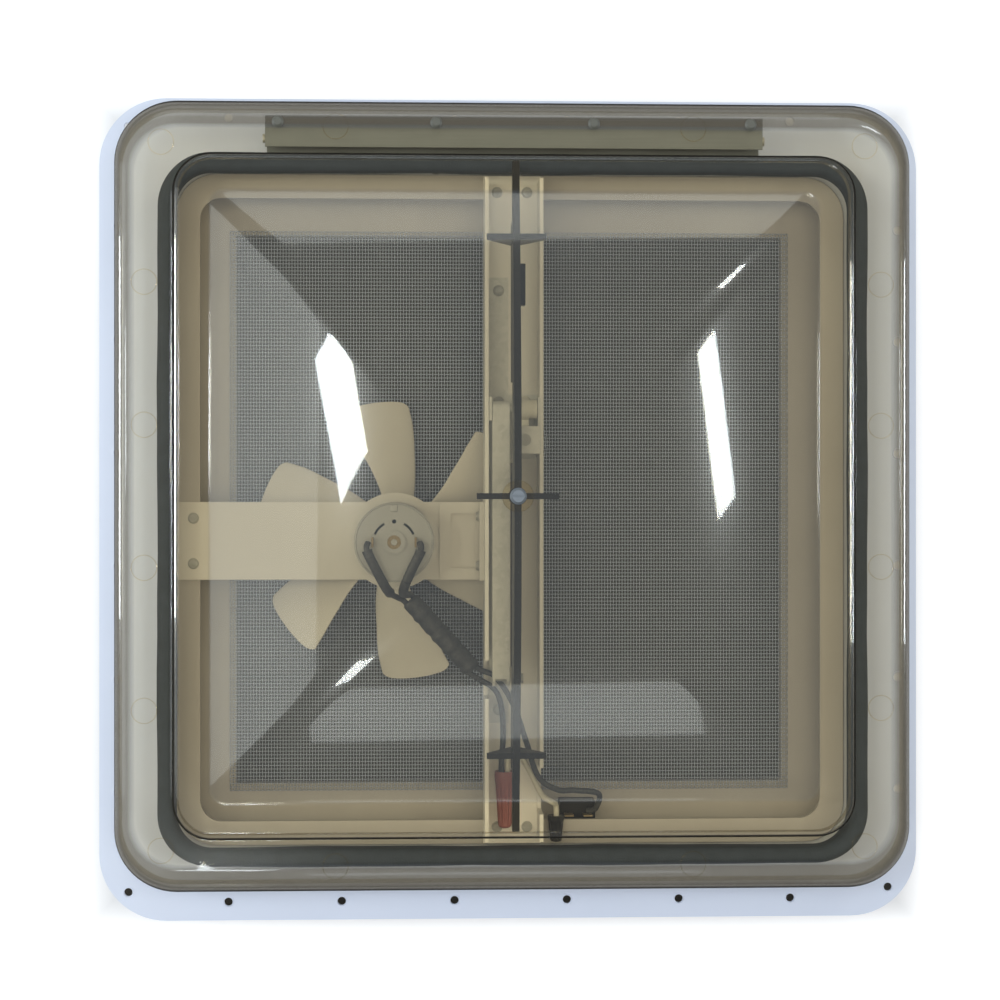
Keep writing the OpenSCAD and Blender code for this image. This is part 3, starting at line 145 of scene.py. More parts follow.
# Fan
FAN_BLADES = 6
FAN_FIRST_ANGLE = 95.0
BLADE_ROOT_R = 10.0
BLADE_T = 1.5
BLADE_DROP = 8.0
TIP_ROUND = 0.035
BLADE_HOLLOW = 0.06
SHAFT_HOLE_R = 1.7
HUB_R = 13.0
HUB_BEVEL = 1.0
HUB_SHOULDER = 2.0
HUB_SOFTENED = 0.6

# A blade from its root at 0 to its tip at 1: half chords, and degrees by which its middle swings back
CHORD_STATIONS = [0, 0.2, 0.5, 0.85, 1]
HALF_CHORDS = [6.5, 8.2, 12.2, 17.2, 18.4]
SWING_STATIONS = [0, 0.2, 0.6, 1]
SWING_DEGREES = [-12, -9, -1, 4]
FAN_PITCH_ROOT = 27.0
FAN_PITCH_TIP = 19.0

fan_x, fan_y = (fan_low[:2] + fan_high[:2]) / 2
fan_r = (fan_high[0] - fan_low[0]) / 2
hub_low, hub_top = fan_low[2], fan_high[2]
blade_z = hub_top - BLADE_DROP

# Leads, with the routes of the solids
LEAD_R = 1.5
SLEEVE_R = 5.5
SHRINK_R = 2.7
SHRINK_LIP = 0.07

# Flange screw holes
HOLE_R = 2.25
HOLE_PITCH = 60.5
HOLE_ROW = 210.0
HOLE_CORNER = 204.5
HOLES_A_SIDE = 6
LIP_R = 0.4
LIP_OUT = 0.35
SHEET_T = 1.5


# Grids of points and the meshes made from them

MERGE_GAP = 0.002


def grid_faces(rows, cols, loop_rows, loop_cols):
    """Corner numbers of the four-sided faces between neighbouring rows and columns of one grid."""
    i = np.arange(rows if loop_rows else rows - 1)[:, None]
    j = np.arange(cols if loop_cols else cols - 1)[None, :]
    below = (i + 1) % rows * cols
    beside = (j + 1) % cols
    corners = [i * cols + j, i * cols + beside, below + beside, below + j]
    return np.stack(corners, axis=-1).reshape(-1, 4)


def grid(points, loop_rows=False, loop_cols=True):
    """Points and faces of a grid [rows, cols, 3], or of a stack of equal grids [count, rows, cols, 3]."""
    rows, cols = points.shape[-3:-1]
    stack = points.reshape(-1, rows * cols, 3)
    one = grid_faces(rows, cols, loop_rows, loop_cols)
    faces = one[None] + (np.arange(len(stack)) * rows * cols)[:, None, None]
    return stack.reshape(-1, 3), faces.reshape(-1, 4)


def capped(points):
    """The grid with one more row at each end, drawn together to that end's middle: a closed tube."""
    middles = points.mean(axis=-2, keepdims=True)
    shape = points[..., :1, :, :].shape
    first = np.broadcast_to(middles[..., :1, :, :], shape)
    last = np.broadcast_to(middles[..., -1:, :, :], shape)
    return np.concatenate([first, points, last], axis=-3)


def add_piece(name, body, finish, grids, stands_for=(), sharp=38, dark=None):
    """New piece from grids in millimetres: doubles merged, faces outwards, smooth up to the sharp angle.

    stands_for names the solids it replaces. dark is a number for each point, kept for its finish."""
    points = np.concatenate([g[0] for g in grids])
    starts = np.cumsum([0] + [len(g[0]) for g in grids[:-1]])
    faces = np.concatenate([g[1] + start for g, start in zip(grids, starts)])
    mesh = bpy.data.meshes.new(name)
    mesh.from_pydata((points * MM).tolist(), [], faces.tolist())
    if dark is not None:
        mesh.attributes.new("dark", "FLOAT", "POINT").data.foreach_set("value", dark)
    work = bmesh.new()
    work.from_mesh(mesh)
    bmesh.ops.remove_doubles(work, verts=work.verts, dist=MERGE_GAP * MM)
    bmesh.ops.recalc_face_normals(work, faces=work.faces)
    work.to_mesh(mesh)
    work.free()
    mesh.shade_smooth()
    mesh.set_sharp_from_angle(angle=math.radians(sharp))
    mesh.materials.append(finish)
    piece = bpy.data.objects.new(name, mesh)
    bpy.context.scene.collection.objects.link(piece)
    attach(piece, body)
    if stands_for:
        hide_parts(*stands_for)


# Families of shapes

CORNER_STEPS = 14
SIDE_STEPS = 22
ACROSS_NO_LEAD = (0.35, 0.85, 0.4)


def square_rings(rows):
    """Rings of a square with round corners, one for each row of half width, corner radius and height.

    A quarter is an arc of the corner radius about the point half - corner on both axes, then a straight
    side whose points crowd towards its ends by a cosine. The others are that one turned by right angles."""
    half, corner, level = (rows[:, k, None] for k in range(3))
    turn = np.linspace(0, np.pi / 2, CORNER_STEPS + 1)
    run = np.cos(np.linspace(0, np.pi, SIDE_STEPS + 1)[1:-1])
    flat = half - corner
    u = np.concatenate([flat + corner * np.cos(turn), flat * run], axis=1)
    v = np.concatenate([flat + corner * np.sin(turn), half + 0 * run], axis=1)
    x = np.concatenate([u, -v, -u, v], axis=1)
    y = np.concatenate([v, u, -v, -u], axis=1)
    return np.stack([x, y, level + 0 * x], axis=-1)


def lathe(profile, steps, centre=(0.0, 0.0)):
    """Surface of revolution about an upright line: each row of radius and height is carried round."""
    turn = np.linspace(0, 2 * np.pi, steps, endpoint=False)
    x = centre[0] + profile[:, 0, None] * np.cos(turn)
    y = centre[1] + profile[:, 0, None] * np.sin(turn)
    return np.stack([x, y, profile[:, 1, None] + 0 * x], axis=-1)


def smooth_path(points, steps):
    """Catmull-Rom curve: each stretch is a cubic through its ends, led by the points before and after."""
    p = np.asarray(points, float)
    padded = np.concatenate([p[:1], p, p[-1:]])
    a, b, c, d = (padded[k:len(p) - 1 + k, None] for k in range(4))
    t = np.linspace(0, 1, steps, endpoint=False)[None, :, None]
    straight = 2 * b + (c - a) * t
    bend = (2 * a - 5 * b + 4 * c - d) * t**2 + (3 * b - a - 3 * c + d) * t**3
    return np.concatenate([(straight + bend).reshape(-1, 3) / 2, p[-1:]])


def tube(path, radius, sides=14):
    """Round section carried along a path: a circle in the plane across the run.

    radius is one number, or one for each point. The circle starts from a direction that no lead takes."""
    run = np.gradient(path, axis=0)
    run /= np.linalg.norm(run, axis=1, keepdims=True)
    side = np.cross(run, ACROSS_NO_LEAD)
    side /= np.linalg.norm(side, axis=1, keepdims=True)
    up = np.cross(run, side)
    turn = np.linspace(0, 2 * np.pi, sides, endpoint=False)[None, :, None]
    ring = np.cos(turn) * side[:, None] + np.sin(turn) * up[:, None]
    return capped(path[:, None] + np.reshape(radius, (-1, 1, 1)) * ring)


# Finishes: one class for sockets and one for the material that holds them

class Wire:
    """A socket of a finish. Arithmetic between wires and numbers adds Math nodes."""

    def __init__(self, finish, socket):
        self.finish = finish
        self.socket = socket

    def maths(self, operation, first, second):
        return self.finish.add("ShaderNodeMath", {"operation": operation}, {0: first, 1: second})

    def __add__(self, other):
        return self.maths("ADD", self, other)

    def __radd__(self, other):
        return self.maths("ADD", other, self)

    def __sub__(self, other):
        return self.maths("SUBTRACT", self, other)

    def __rsub__(self, other):
        return self.maths("SUBTRACT", other, self)

    def __mul__(self, other):
        return self.maths("MULTIPLY", self, other)

    def __rmul__(self, other):
        return self.maths("MULTIPLY", other, self)

    def __pow__(self, other):
        return self.maths("POWER", self, other)

    def least(self, other):
        return self.maths("MINIMUM", self, other)

    def most(self, other):
        return self.maths("MAXIMUM", self, other)

    def size(self):
        return self.maths("ABSOLUTE", self, 0.0)


class Finish:
    """A material under construction."""

    def __init__(self, name):
        self.material = bpy.data.materials.new(name)
        self.material.use_nodes = True
        self.tree = self.material.node_tree
        self.tree.nodes.clear()
        self.place = self.add("ShaderNodeTexCoord", out="Object")

    def add(self, kind, settings=None, sockets=None, out=0):
        """Adds a node: its settings first, then its sockets' values or links. Gives one output's wire."""
        node = self.tree.nodes.new(kind)
        for name, value in (settings or {}).items():
            setattr(node, name, value)
        for key, value in (sockets or {}).items():
            if isinstance(value, Wire):
                self.tree.links.new(value.socket, node.inputs[key])
            else:
                node.inputs[key].default_value = value
        return Wire(self, node.outputs[out]) if node.outputs else node

    def noise(self, grain, detail=2.0, stretch=(1.0, 1.0, 1.0)):
        """Soft noise with lumps about grain millimetres across, drawn out along axes of small stretch."""
        place = self.add("ShaderNodeMapping", None, {"Vector": self.place, "Scale": stretch})
        sockets = {"Vector": place, "Scale": 1 / (grain * MM), "Detail": detail}
        return self.add("ShaderNodeTexNoise", None, sockets)

    def cells(self, grain, out="Color"):
        """Flat patches about grain millimetres across, each with its own random colour."""
        sockets = {"Vector": self.place, "Scale": 1 / (grain * MM)}
        return self.add("ShaderNodeTexVoronoi", {"feature": "F1"}, sockets, out)

    def blend(self, share, first, second):
        """Colour mix: first where share is 0, second where it is 1."""
        return self.add("ShaderNodeMix", {"data_type": "RGBA"}, {0: share, 6: first, 7: second}, out=2)

    def grey(self, colour):
        """Brightness of a colour socket."""
        return self.add("ShaderNodeRGBToBW", None, {"Color": colour})

    def bump(self, height, depth):
        """Normal of a surface that rises by depth millimetres where height goes from 0 to 1."""
        return self.add("ShaderNodeBump", None, {"Height": height, "Distance": depth * MM, "Strength": 1.0})

    def solid(self, colour, roughness, normal=None, **constants):
        """Principled surface; the constants are plain numbers on its sockets."""
        sockets = {"Base Color": colour, "Roughness": roughness}
        if normal is not None:
            sockets["Normal"] = normal
        sockets.update({name.replace("_", " "): value for name, value in constants.items()})
        return self.add("ShaderNodeBsdfPrincipled", None, sockets)

    def done(self, surface):
        """Puts a shader on the output and gives the material."""
        self.add("ShaderNodeOutputMaterial", None, {"Surface": surface})
        return self.material


def tone(red, green, blue):
    """Linear colour from a display colour of 0 to 255."""
    shares = [v / 255 for v in (red, green, blue)]
    linear = [v / 12.92 if v <= 0.04045 else ((v + 0.055) / 1.055)**2.4 for v in shares]
    return (*linear, 1.0)


def paint_finish():
    """Gloss white paint on steel: faint orange peel, a cool tint and soft clouding."""
    f = Finish("white_paint")
    colour = f.blend(f.noise(grain=70), tone(212, 220, 236), tone(218, 225, 240))
    peel = f.bump(f.noise(grain=2.2, detail=1.0), depth=0.012)
    roughness = 0.3 + 0.08 * f.noise(grain=25)
    return f.done(f.solid(colour, roughness, peel, Specular_IOR_Level=0.45))


def foam_finish():
    """Closed-cell foam: dark, rough, pitted by small cells."""
    f = Finish("foam")
    pits = f.bump(f.cells(grain=0.9, out="Distance"), depth=0.12)
    colour = f.blend(f.noise(grain=6), tone(50, 60, 74), tone(64, 75, 92))
    roughness = 0.75 + 0.15 * f.noise(grain=3)
    return f.done(f.solid(colour, roughness, pits, Specular_IOR_Level=0.35))


def moulded_finish(name, pale, deep, grain, roughness):
    """Satin moulded plastic: two close tones in slow clouds, a fine grain, a little flow streaking."""
    f = Finish(name)
    flow = f.noise(grain=9, stretch=(1.0, 0.25, 1.0))
    colour = f.blend(0.6 * f.noise(grain=48, detail=3.0) + 0.4 * flow, pale, deep)
    texture = f.bump(f.noise(grain, detail=3.0), depth=0.03)
    uneven = roughness - 0.08 + 0.16 * f.noise(grain=5)
    return f.done(f.solid(colour, uneven, texture, Specular_IOR_Level=0.4))


def plated_finish(name, pale, deep, spangle, roughness, metallic):
    """Plated steel: crystal patches that differ a little in tone and gloss, under fine handling marks."""
    f = Finish(name)
    patch = f.grey(f.cells(spangle))
    rub = f.noise(grain=1.2, stretch=(0.06, 1.0, 1.0))
    colour = f.blend(0.7 * patch + 0.3 * rub, deep, pale)
    gloss = roughness - 0.1 + 0.14 * patch + 0.08 * rub
    return f.done(f.solid(colour, gloss, f.bump(rub, depth=0.01), Metallic=metallic))


def drawn_finish(name, pale, deep, roughness, metallic):
    """Rolled steel with long streaks along X and soft dull stains."""
    f = Finish(name)
    streak = f.noise(grain=0.8, detail=3.0, stretch=(0.02, 1.0, 1.0))
    stain = f.noise(grain=14, detail=3.0)
    colour = f.blend(0.55 * streak + 0.45 * stain, deep, pale)
    gloss = roughness + 0.12 * stain
    return f.done(f.solid(colour, gloss, f.bump(streak, depth=0.015), Metallic=metallic))


def thread_finish():
    """Coated screen thread: a painted highlight where it passes over, painted shade where it dips under, a
    little uneven.
    """
    f = Finish("net")
    level = f.add("ShaderNodeSeparateXYZ", None, {"Vector": f.place}, out="Z")
    depth = 2 * (THREAD_R + THREAD_WAVE)
    painted_shade_z = net_low[2] + 0.3 * depth
    painted_highlight_z = net_low[2] + 0.9 * depth
    # Painted light by height in the weave: the threads' tops lighter, the dips darker
    painted_light_share = f.add("ShaderNodeMapRange", None, {
        "Value": level, "From Min": painted_shade_z * MM, "From Max": painted_highlight_z * MM})
    share = painted_light_share * (0.75 + 0.5 * f.noise(grain=3.5))
    # The dark tone is the painted shade and the pale tone the painted highlight
    colour = f.blend(share, tone(122, 129, 142), tone(220, 230, 248))
    return f.done(f.solid(colour, 0.42 + 0.1 * f.noise(grain=8), None, Specular_IOR_Level=0.5))


def rubber_finish(name, pale, deep, roughness, grain):
    """Soft insulation: matt, with a fine skin and dusty patches."""
    f = Finish(name)
    dust = f.noise(grain=7, detail=3.0) * f.noise(grain=1.4)
    colour = f.blend(dust, deep, pale)
    skin = f.bump(f.noise(grain), depth=0.03)
    return f.done(f.solid(colour, roughness + 0.12 * dust, skin, Specular_IOR_Level=0.4))


SMOKE_FILM = (1.0, 0.957, 0.853, 1.0)
SMOKE_IOR = 1.46
BODY_MOST = 0.95
GLOSS_MOST = 0.14
EDGE_DULL = 0.85
BLOOM_SHARE = 0.3


def smoke_finish():
    """Smoke acrylic: a brown film that passes light, a body that shows in edges and walls, and gloss on both.

    Film and body are mixed by the piece's own darkness, and a little more where the face is seen along. The
    body is a cool haze in the crown; brown in the rim and nearly black at the edges it is painted shade, for
    the dark of plastic seen edge on. Gloss lies over all by the Fresnel share, held down where the face is
    seen edge on and at the painted dark edges, part mirror, part bloom."""
    f = Finish("smoke_plastic")
    away = f.add("ShaderNodeLayerWeight", None, {"Blend": 0.5}, out="Facing")
    # The dark attribute holds the lid's body share and its painted shade at the rim, the skirt and the edges
    dark = f.add("ShaderNodeAttribute", {"attribute_name": "dark"}, out="Fac")
    mirror_share = f.add("ShaderNodeFresnel", None, {"IOR": SMOKE_IOR})
    film = f.add("ShaderNodeBsdfTransparent", None, {"Color": SMOKE_FILM})
    ripple = f.bump(f.noise(grain=38, detail=1.0), depth=0.02)
    # deep and brown carry the painted shade: deep the near-black edges, brown the brown rim
    deep = f.add("ShaderNodeMapRange", None, {"Value": dark, "From Min": RIM_PAINTED_SHADE, "From Max": EDGE_PAINTED_SHADE})
    brown = f.add("ShaderNodeMapRange", None, {"Value": dark, "From Min": CROWN_DARK, "From Max": RIM_PAINTED_SHADE})
    haze = f.blend(f.noise(grain=60), tone(94, 101, 110), tone(104, 111, 120))
    # tone(30, 28, 24) is the painted edge shade and tone(96, 90, 80) the painted rim shade
    colour = f.blend(deep, f.blend(brown, haze, tone(96, 90, 80)), tone(30, 28, 24))
    body = f.solid(colour, 0.08 + 0.04 * f.noise(grain=20), ripple, Specular_IOR_Level=0.0)
    share = (dark + 0.3 * away**1.5).least(BODY_MOST)
    wall = f.add("ShaderNodeMixShader", None, {0: share, 1: film, 2: body})
    mirror = f.add("ShaderNodeBsdfGlossy", None, {"Roughness": 0.02, "Normal": ripple})
    bloom = f.add("ShaderNodeBsdfGlossy", None, {"Roughness": 0.16, "Normal": ripple})
    gloss = f.add("ShaderNodeMixShader", None, {0: BLOOM_SHARE, 1: mirror, 2: bloom})
    gloss_share = mirror_share.least(GLOSS_MOST) * (1 - EDGE_DULL * deep)
    return f.done(f.add("ShaderNodeMixShader", None, {0: gloss_share, 1: wall, 2: gloss}))


white_paint = paint_finish()
foam = foam_finish()
smoke_plastic = smoke_finish()
cream_plastic = moulded_finish("cream_plastic", tone(231, 229, 225), tone(219, 216, 210), 0.7, 0.42)
# A darker copy of the cream plastic: painted shade for the frame parts deep in the well
shaded_frame_plastic = moulded_finish("shaded_frame_plastic", tone(196, 193, 190), tone(182, 178, 174), 0.8, 0.46)
# A brighter copy of the cream plastic: painted light against the shade inside the beam's channel
lit_beam_plastic = moulded_finish("lit_beam_plastic", tone(250, 249, 245), tone(243, 241, 236), 0.7, 0.42)
fan_plastic = moulded_finish("fan_plastic", tone(225, 222, 215), tone(211, 207, 199), 1.4, 0.34)
nylon = moulded_finish("nylon", tone(236, 234, 224), tone(222, 219, 206), 0.5, 0.4)
red_plastic = moulded_finish("red_plastic", tone(170, 108, 105), tone(144, 90, 88), 0.5, 0.36)
black_plastic = moulded_finish("black_plastic", tone(40, 40, 41), tone(27, 27, 28), 0.5, 0.32)
black_paint = moulded_finish("black_paint", tone(30, 30, 29), tone(22, 22, 21), 0.9, 0.38)
carbon = moulded_finish("carbon", tone(52, 52, 54), tone(36, 36, 38), 0.4, 0.55)
ferrite = moulded_finish("ferrite", tone(74, 74, 77), tone(56, 56, 60), 0.4, 0.6)
arm_steel = plated_finish("arm_steel", tone(238, 239, 236), tone(214, 215, 212), 3.0, 0.45, 0.1)
zinc = plated_finish("zinc", tone(206, 208, 206), tone(176, 177, 174), 3.0, 0.42, 0.3)
motor_steel = drawn_finish("motor_steel", tone(196, 198, 198), tone(172, 173, 173), 0.42, 0.2)
bronze = plated_finish("bronze", tone(188, 172, 142), tone(152, 134, 104), 0.8, 0.4, 0.7)
hinge_steel = drawn_finish("hinge_steel", tone(130, 137, 143), tone(106, 113, 119), 0.46, 0.15)
rivet_steel = drawn_finish("rivet_steel", tone(100, 100, 90), tone(82, 82, 74), 0.55, 0.0)
net = thread_finish()
black_rubber = rubber_finish("black_rubber", tone(112, 114, 116), tone(50, 51, 53), 0.5, 0.6)
white_insulation = rubber_finish("white_insulation", tone(238, 236, 226), tone(214, 211, 198), 0.4, 0.6)


# Camera above the left half, tilted a little so that the flange stays in the middle of the frame

CAMERA_AT = (-48.0, 5.1, 1100.0)
CAMERA_TILT = 2.2
FOCAL_PIXELS = 2043.0
IMAGE_PIXELS = 1000.0
SENSOR = 36.0

view = bpy.data.cameras.new("camera")
view.sensor_width = SENSOR
view.lens = SENSOR * FOCAL_PIXELS / IMAGE_PIXELS
camera = bpy.data.objects.new("camera", view)
camera.location = Vector(CAMERA_AT) * MM
camera.rotation_euler = (0.0, math.radians(-CAMERA_TILT), 0.0)
bpy.context.scene.collection.objects.link(camera)
bpy.context.scene.camera = camera


# Leads, sleeves and wire nuts

MOTOR = np.array([fan_x, fan_y, 0.0])
SLEEVE_A = np.array([-54.0, -47.5, 29.0])
SLEEVE_B = np.array([-21.2, -84.0, 26.0])
LEAD_SPACE = np.array([-1.78, -1.6, 0.0])
LEFT_LEAD = [
    MOTOR + (-13.2, 0, 59.5),
    MOTOR + (-13.7, -4, 61.5),
    MOTOR + (-9, -14, 60.5),
    MOTOR + (-4, -23.5, 55.5),
    MOTOR + (-1, -27.5, 42.5),
    MOTOR + (2, -29.5, 34),
    SLEEVE_A + LEAD_SPACE,
    (SLEEVE_A + SLEEVE_B) / 2 + LEAD_SPACE,
    SLEEVE_B + LEAD_SPACE,
    (-10.2, -94, 25),
    (-6, -104, 24),
    (-5, -120, 23.05),
    (-5.8, -132, 22.05),
    (-5.8, -145, 22.05),
]
RIGHT_LEAD = [
    MOTOR + (13.2, 0, 59.5),
    MOTOR + (13.7, -4, 61.5),
    MOTOR + (9, -14, 60.5),
    MOTOR + (5, -23.5, 55.5),
    MOTOR + (5.5, -27.5, 42.5),
    MOTOR + (8, -28, 34),
    SLEEVE_A - LEAD_SPACE,
    (SLEEVE_A + SLEEVE_B) / 2 - LEAD_SPACE,
    SLEEVE_B - LEAD_SPACE,
    (-9.2, -88, 26),
    (0, -102, 27),
    (7, -122, 28),
    (13.2, -140, 29),
    (23.2, -147, 29),
    (33, -148, 25),
    (46, -151, 17),
    (45, -159.6, 10.9),
    (41, -161.6, 6.9),
]
WHITE_LEAD = [
    (-2.2, -145, 22.05),
    (-2.2, -132, 22.05),
    (2, -127, 23.05),
    (8, -136, 23.05),
    (15.2, -150, 24.05),
    (20.2, -154, 23.05),
    (23.2, -157, 19.05),
    (23.2, -167, 18.55),
]
ROUTE_STEPS = 12
SHRINK_SPAN = (1.0, 3.5)

# A wire nut from its mouth at 0 to its tip at 1: shares of the full radius, and its bore and flutes
NUT_STATIONS = [0, 0.03, 0.16, 0.24, 0.94, 0.97, 0.99, 1.0]
NUT_SHARES = [0.97, 1, 0.98, 0.9, 0.66, 0.6, 0.45, 0.3]
NUT_BORE = [0.32, 0.32, 0.02]
NUT_SKIRT = np.linspace(0, 0.18, 8)
NUT_CONE = np.linspace(0.22, 0.94, 24)
NUT_TIP = [0.97, 0.99, 1.0, 1.0]
FLUTE_START = 0.2
FLUTE_RISE = 0.12
FLUTE_STOP = 0.96
FLUTE_FALL = 0.1

# Ripples of the loose sleeve as depth and waves, and how far its ends draw in over what share of it
SLEEVE_SLACK = 0.4
SLEEVE_SLOW = (0.22, 41)
SLEEVE_QUICK = (0.16, 67)
SLEEVE_DRAW = 0.9
SLEEVE_DRAW_RUN = 0.03


def shrink_tube(route, start, stop):
    """Shrunk-on sleeve along part of a lead's route: its radius swells at both ends like a rolled lip."""
    path = smooth_path(route, ROUTE_STEPS)[int(start * ROUTE_STEPS):int(stop * ROUTE_STEPS) + 1]
    s = np.linspace(-1, 1, len(path))
    return tube(path, SHRINK_R * (1 - SHRINK_LIP + SHRINK_LIP * s**8))


def wire_nut(low, high, flutes, flute_depth, bore):
    """Skirted cone along -Y: the radius falls from mouth to tip, with cosine flutes that fade at both ends.

    s runs from the mouth at 0 to the tip at 1; the first rows are the bore inside the mouth."""
    radius = (high[0] - low[0]) / 2
    centre_x, centre_z = (low[0] + high[0]) / 2, (low[2] + high[2]) / 2
    s = np.concatenate([NUT_BORE, NUT_SKIRT, NUT_CONE, NUT_TIP])
    outer = radius * np.interp(s, NUT_STATIONS, NUT_SHARES)
    outer[:len(NUT_BORE)] = [0, bore, bore]
    outer[-1] = 0
    turn = np.linspace(0, 2 * np.pi, 8 * flutes, endpoint=False)
    fade_in = np.clip((s - FLUTE_START) / FLUTE_RISE, 0, 1)
    fade = fade_in * np.clip((FLUTE_STOP - s) / FLUTE_FALL, 0, 1)
    fade[:len(NUT_BORE)] = 0
    r = outer[:, None] - flute_depth * fade[:, None] * (0.5 - 0.5 * np.cos(flutes * turn))
    x = centre_x + r * np.cos(turn)
    z = centre_z + r * np.sin(turn)
    y = high[1] + (low[1] - high[1]) * s[:, None] + 0 * r
    return np.stack([x, y, z], axis=-1)


def sleeve_grid():
    """Loose woven sleeve round both leads: a tube whose radius ripples gently and draws in at its ends."""
    t = np.linspace(0, 1, 60)
    path = SLEEVE_A + (SLEEVE_B - SLEEVE_A) * t[:, None]
    ripple = SLEEVE_SLOW[0] * np.sin(SLEEVE_SLOW[1] * t) + SLEEVE_QUICK[0] * np.sin(SLEEVE_QUICK[1] * t + 1)
    drawn_in = SLEEVE_DRAW * (np.exp(-t / SLEEVE_DRAW_RUN) + np.exp((t - 1) / SLEEVE_DRAW_RUN))
    return tube(path, SLEEVE_R - SLEEVE_SLACK + ripple - drawn_in, 24)


add_piece("left_lead", "base", black_rubber,
          [grid(tube(smooth_path(LEFT_LEAD, ROUTE_STEPS), LEAD_R))], ["motor_lead_left"])
add_piece("right_lead", "base", black_rubber,
          [grid(tube(smooth_path(RIGHT_LEAD, ROUTE_STEPS), LEAD_R))], ["motor_lead_right"])
add_piece("pale_lead", "base", white_insulation,
          [grid(tube(smooth_path(WHITE_LEAD, ROUTE_STEPS), LEAD_R))], ["white_lead"])
add_piece("shrink_sleeves", "base", black_rubber,
          [grid(shrink_tube(route, *SHRINK_SPAN)) for route in (LEFT_LEAD, RIGHT_LEAD)], ["terminal_sleeves"])
add_piece("loose_sleeve", "base", black_rubber, [grid(sleeve_grid())], ["lead_sleeve"])
add_piece("red_nut", "base", red_plastic,
          [grid(wire_nut(red_low, red_high, flutes=10, flute_depth=0.7, bore=3.8))], ["red_wire_nut"])
add_piece("dark_nut", "base", black_plastic,
          [grid(wire_nut(dark_low, dark_high, flutes=8, flute_depth=0.6, bore=1.9))], ["dark_wire_nut"])


# Smoke lid

def arc(half, corner, level, radius, start, stop, steps=12):
    """Rows on an arc about a centre line: half width and corner radius follow the cosine, height the sine."""
    turn = np.radians(np.linspace(start, stop, steps))
    out = radius * np.cos(turn)
    return np.stack([half + out, corner + out, level + radius * np.sin(turn)], axis=1)


STRETCH_START = 0.02
STRETCH_SHARES = [0.25, 0.45, 0.65, 0.8, 0.98]


def stretch(first, last, start=STRETCH_START):
    """Rows on a straight stretch, with one close to each end so that the flat stays flat."""
    share = np.array([start, *STRETCH_SHARES])[:, None]
    return first + (last - first) * share


def lid_rows(inset):
    """Half width, corner radius, height and darkness along the lid's section, from crown to skirt.

    The crown is a circle's arc in every level ring, so its sides are parts of four crossed cylinders, and the
    rings' corner radius grows towards the middle, where the four ridges fade. inset is the depth below the
    outer face: bulging arcs lose it from their radius and hollow ones gain it. The darkness is how much of
    the plastic's own body shows: little on the flats, more in the rim and skirt, most along the outer face's
    edges; in the rim, the skirt and at the edges it is painted shade for the dark of plastic seen edge on."""
    panel_z = step_z + PANEL_RISE
    rise = crown_z - panel_z
    crown_half = panel_half - CROWN_INSET
    reach = (crown_half**2 + rise**2) / (2 * rise)
    axis_z = crown_z - reach
    base = math.sqrt((reach - inset)**2 - (panel_z - inset - axis_z)**2)
    half = base * np.linspace(0, 1, CROWN_ROWS)
    ridge = np.minimum(half, RIDGE_ROUND + RIDGE_FADE * (1 - half / base)**2)
    crown = np.stack([half, ridge, axis_z + np.sqrt((reach - inset)**2 - half**2)], axis=1)
    bend = PANEL_ROUND
    panel = arc(panel_half - bend, PANEL_CORNER - bend, panel_z - bend, bend - inset, 90, 0)
    hollow = PANEL_FOOT
    foot = arc(panel_half + hollow, PANEL_CORNER + hollow, step_z + hollow, hollow + inset, 180, 270)
    rim = arc(lid_half - RIM_ROUND, RIM_CORNER - RIM_ROUND, step_z - RIM_ROUND, RIM_ROUND - inset, 90, 0)
    edge = np.array([[lid_half - inset, RIM_CORNER - inset, skirt_z]])
    # Only the outer face gets painted shade at its rim, edges and skirt; the inner face gets none
    rim_painted_shade, edge_painted_shade, skirt_painted_shade = (0, 0, 0) if inset else (RIM_PAINTED_SHADE, EDGE_PAINTED_SHADE, SKIRT_PAINTED_SHADE)
    stretches = [
        (crown, CROWN_DARK, CROWN_DARK, NO_EDGE),
        (stretch(crown[-1], panel[0], CREASE_SHARE), PANEL_DARK, PANEL_DARK, NO_EDGE),
        (panel, PANEL_DARK, edge_painted_shade, PANEL_EDGE_START),
        (foot, 0, 0, NO_EDGE),
        (stretch(foot[-1], rim[0]), 0, rim_painted_shade, STEP_EDGE_START),
        (rim, rim_painted_shade, edge_painted_shade, RIM_EDGE_START),
        (stretch(rim[-1], edge[0]), skirt_painted_shade, skirt_painted_shade, NO_EDGE),
        (edge, skirt_painted_shade, skirt_painted_shade, NO_EDGE),
    ]
    return np.concatenate([
        np.column_stack([rows, np.where(np.linspace(0, 1, len(rows)) > start, last, first)])
        for rows, first, last, start in stretches])


def lid_rings(section):
    """Rings of the lid's section, spread by shares of x and y.

    The shares go from none at the panel to the step's at the rounding's start and the rim's at the edge, so
    the rounding is wider at front and rear than at the sides."""
    points = square_rings(section)
    stops = [panel_half, lid_half - RIM_ROUND, lid_half]
    for axis in (0, 1):
        spread = np.interp(section[:, 0], stops, [0, STEP_SPREAD[axis], RIM_SPREAD[axis]])
        points[..., axis] *= 1 + spread[:, None]
    return points + (0, lid_y, 0)


def ring_rows(radius, thick, level):
    """Closed round section of a small ring, as radius and height rows."""
    turn = np.linspace(0, 2 * np.pi, 8, endpoint=False)
    return np.stack([radius + thick * np.cos(turn), level + thick * np.sin(turn)], axis=1)


def mark_places():
    """Middles of the round ejector marks: four corners, four along each side, two at front and rear."""
    corner = lid_half - MARK_CORNER_IN
    edge = lid_half - MARK_SIDE_IN
    corners = [(sx * corner, sy * corner) for sx in (-1, 1) for sy in (-1, 1)]
    sides = [(sx * edge, k * MARK_PITCH) for sx in (-1, 1) for k in (-1.5, -0.5, 0.5, 1.5)]
    ends = [(sx * MARK_END_X, sy * edge) for sx in (-1, 1) for sy in (-1, 1)]
    return [(x, y + lid_y) for x, y in corners + sides + ends]


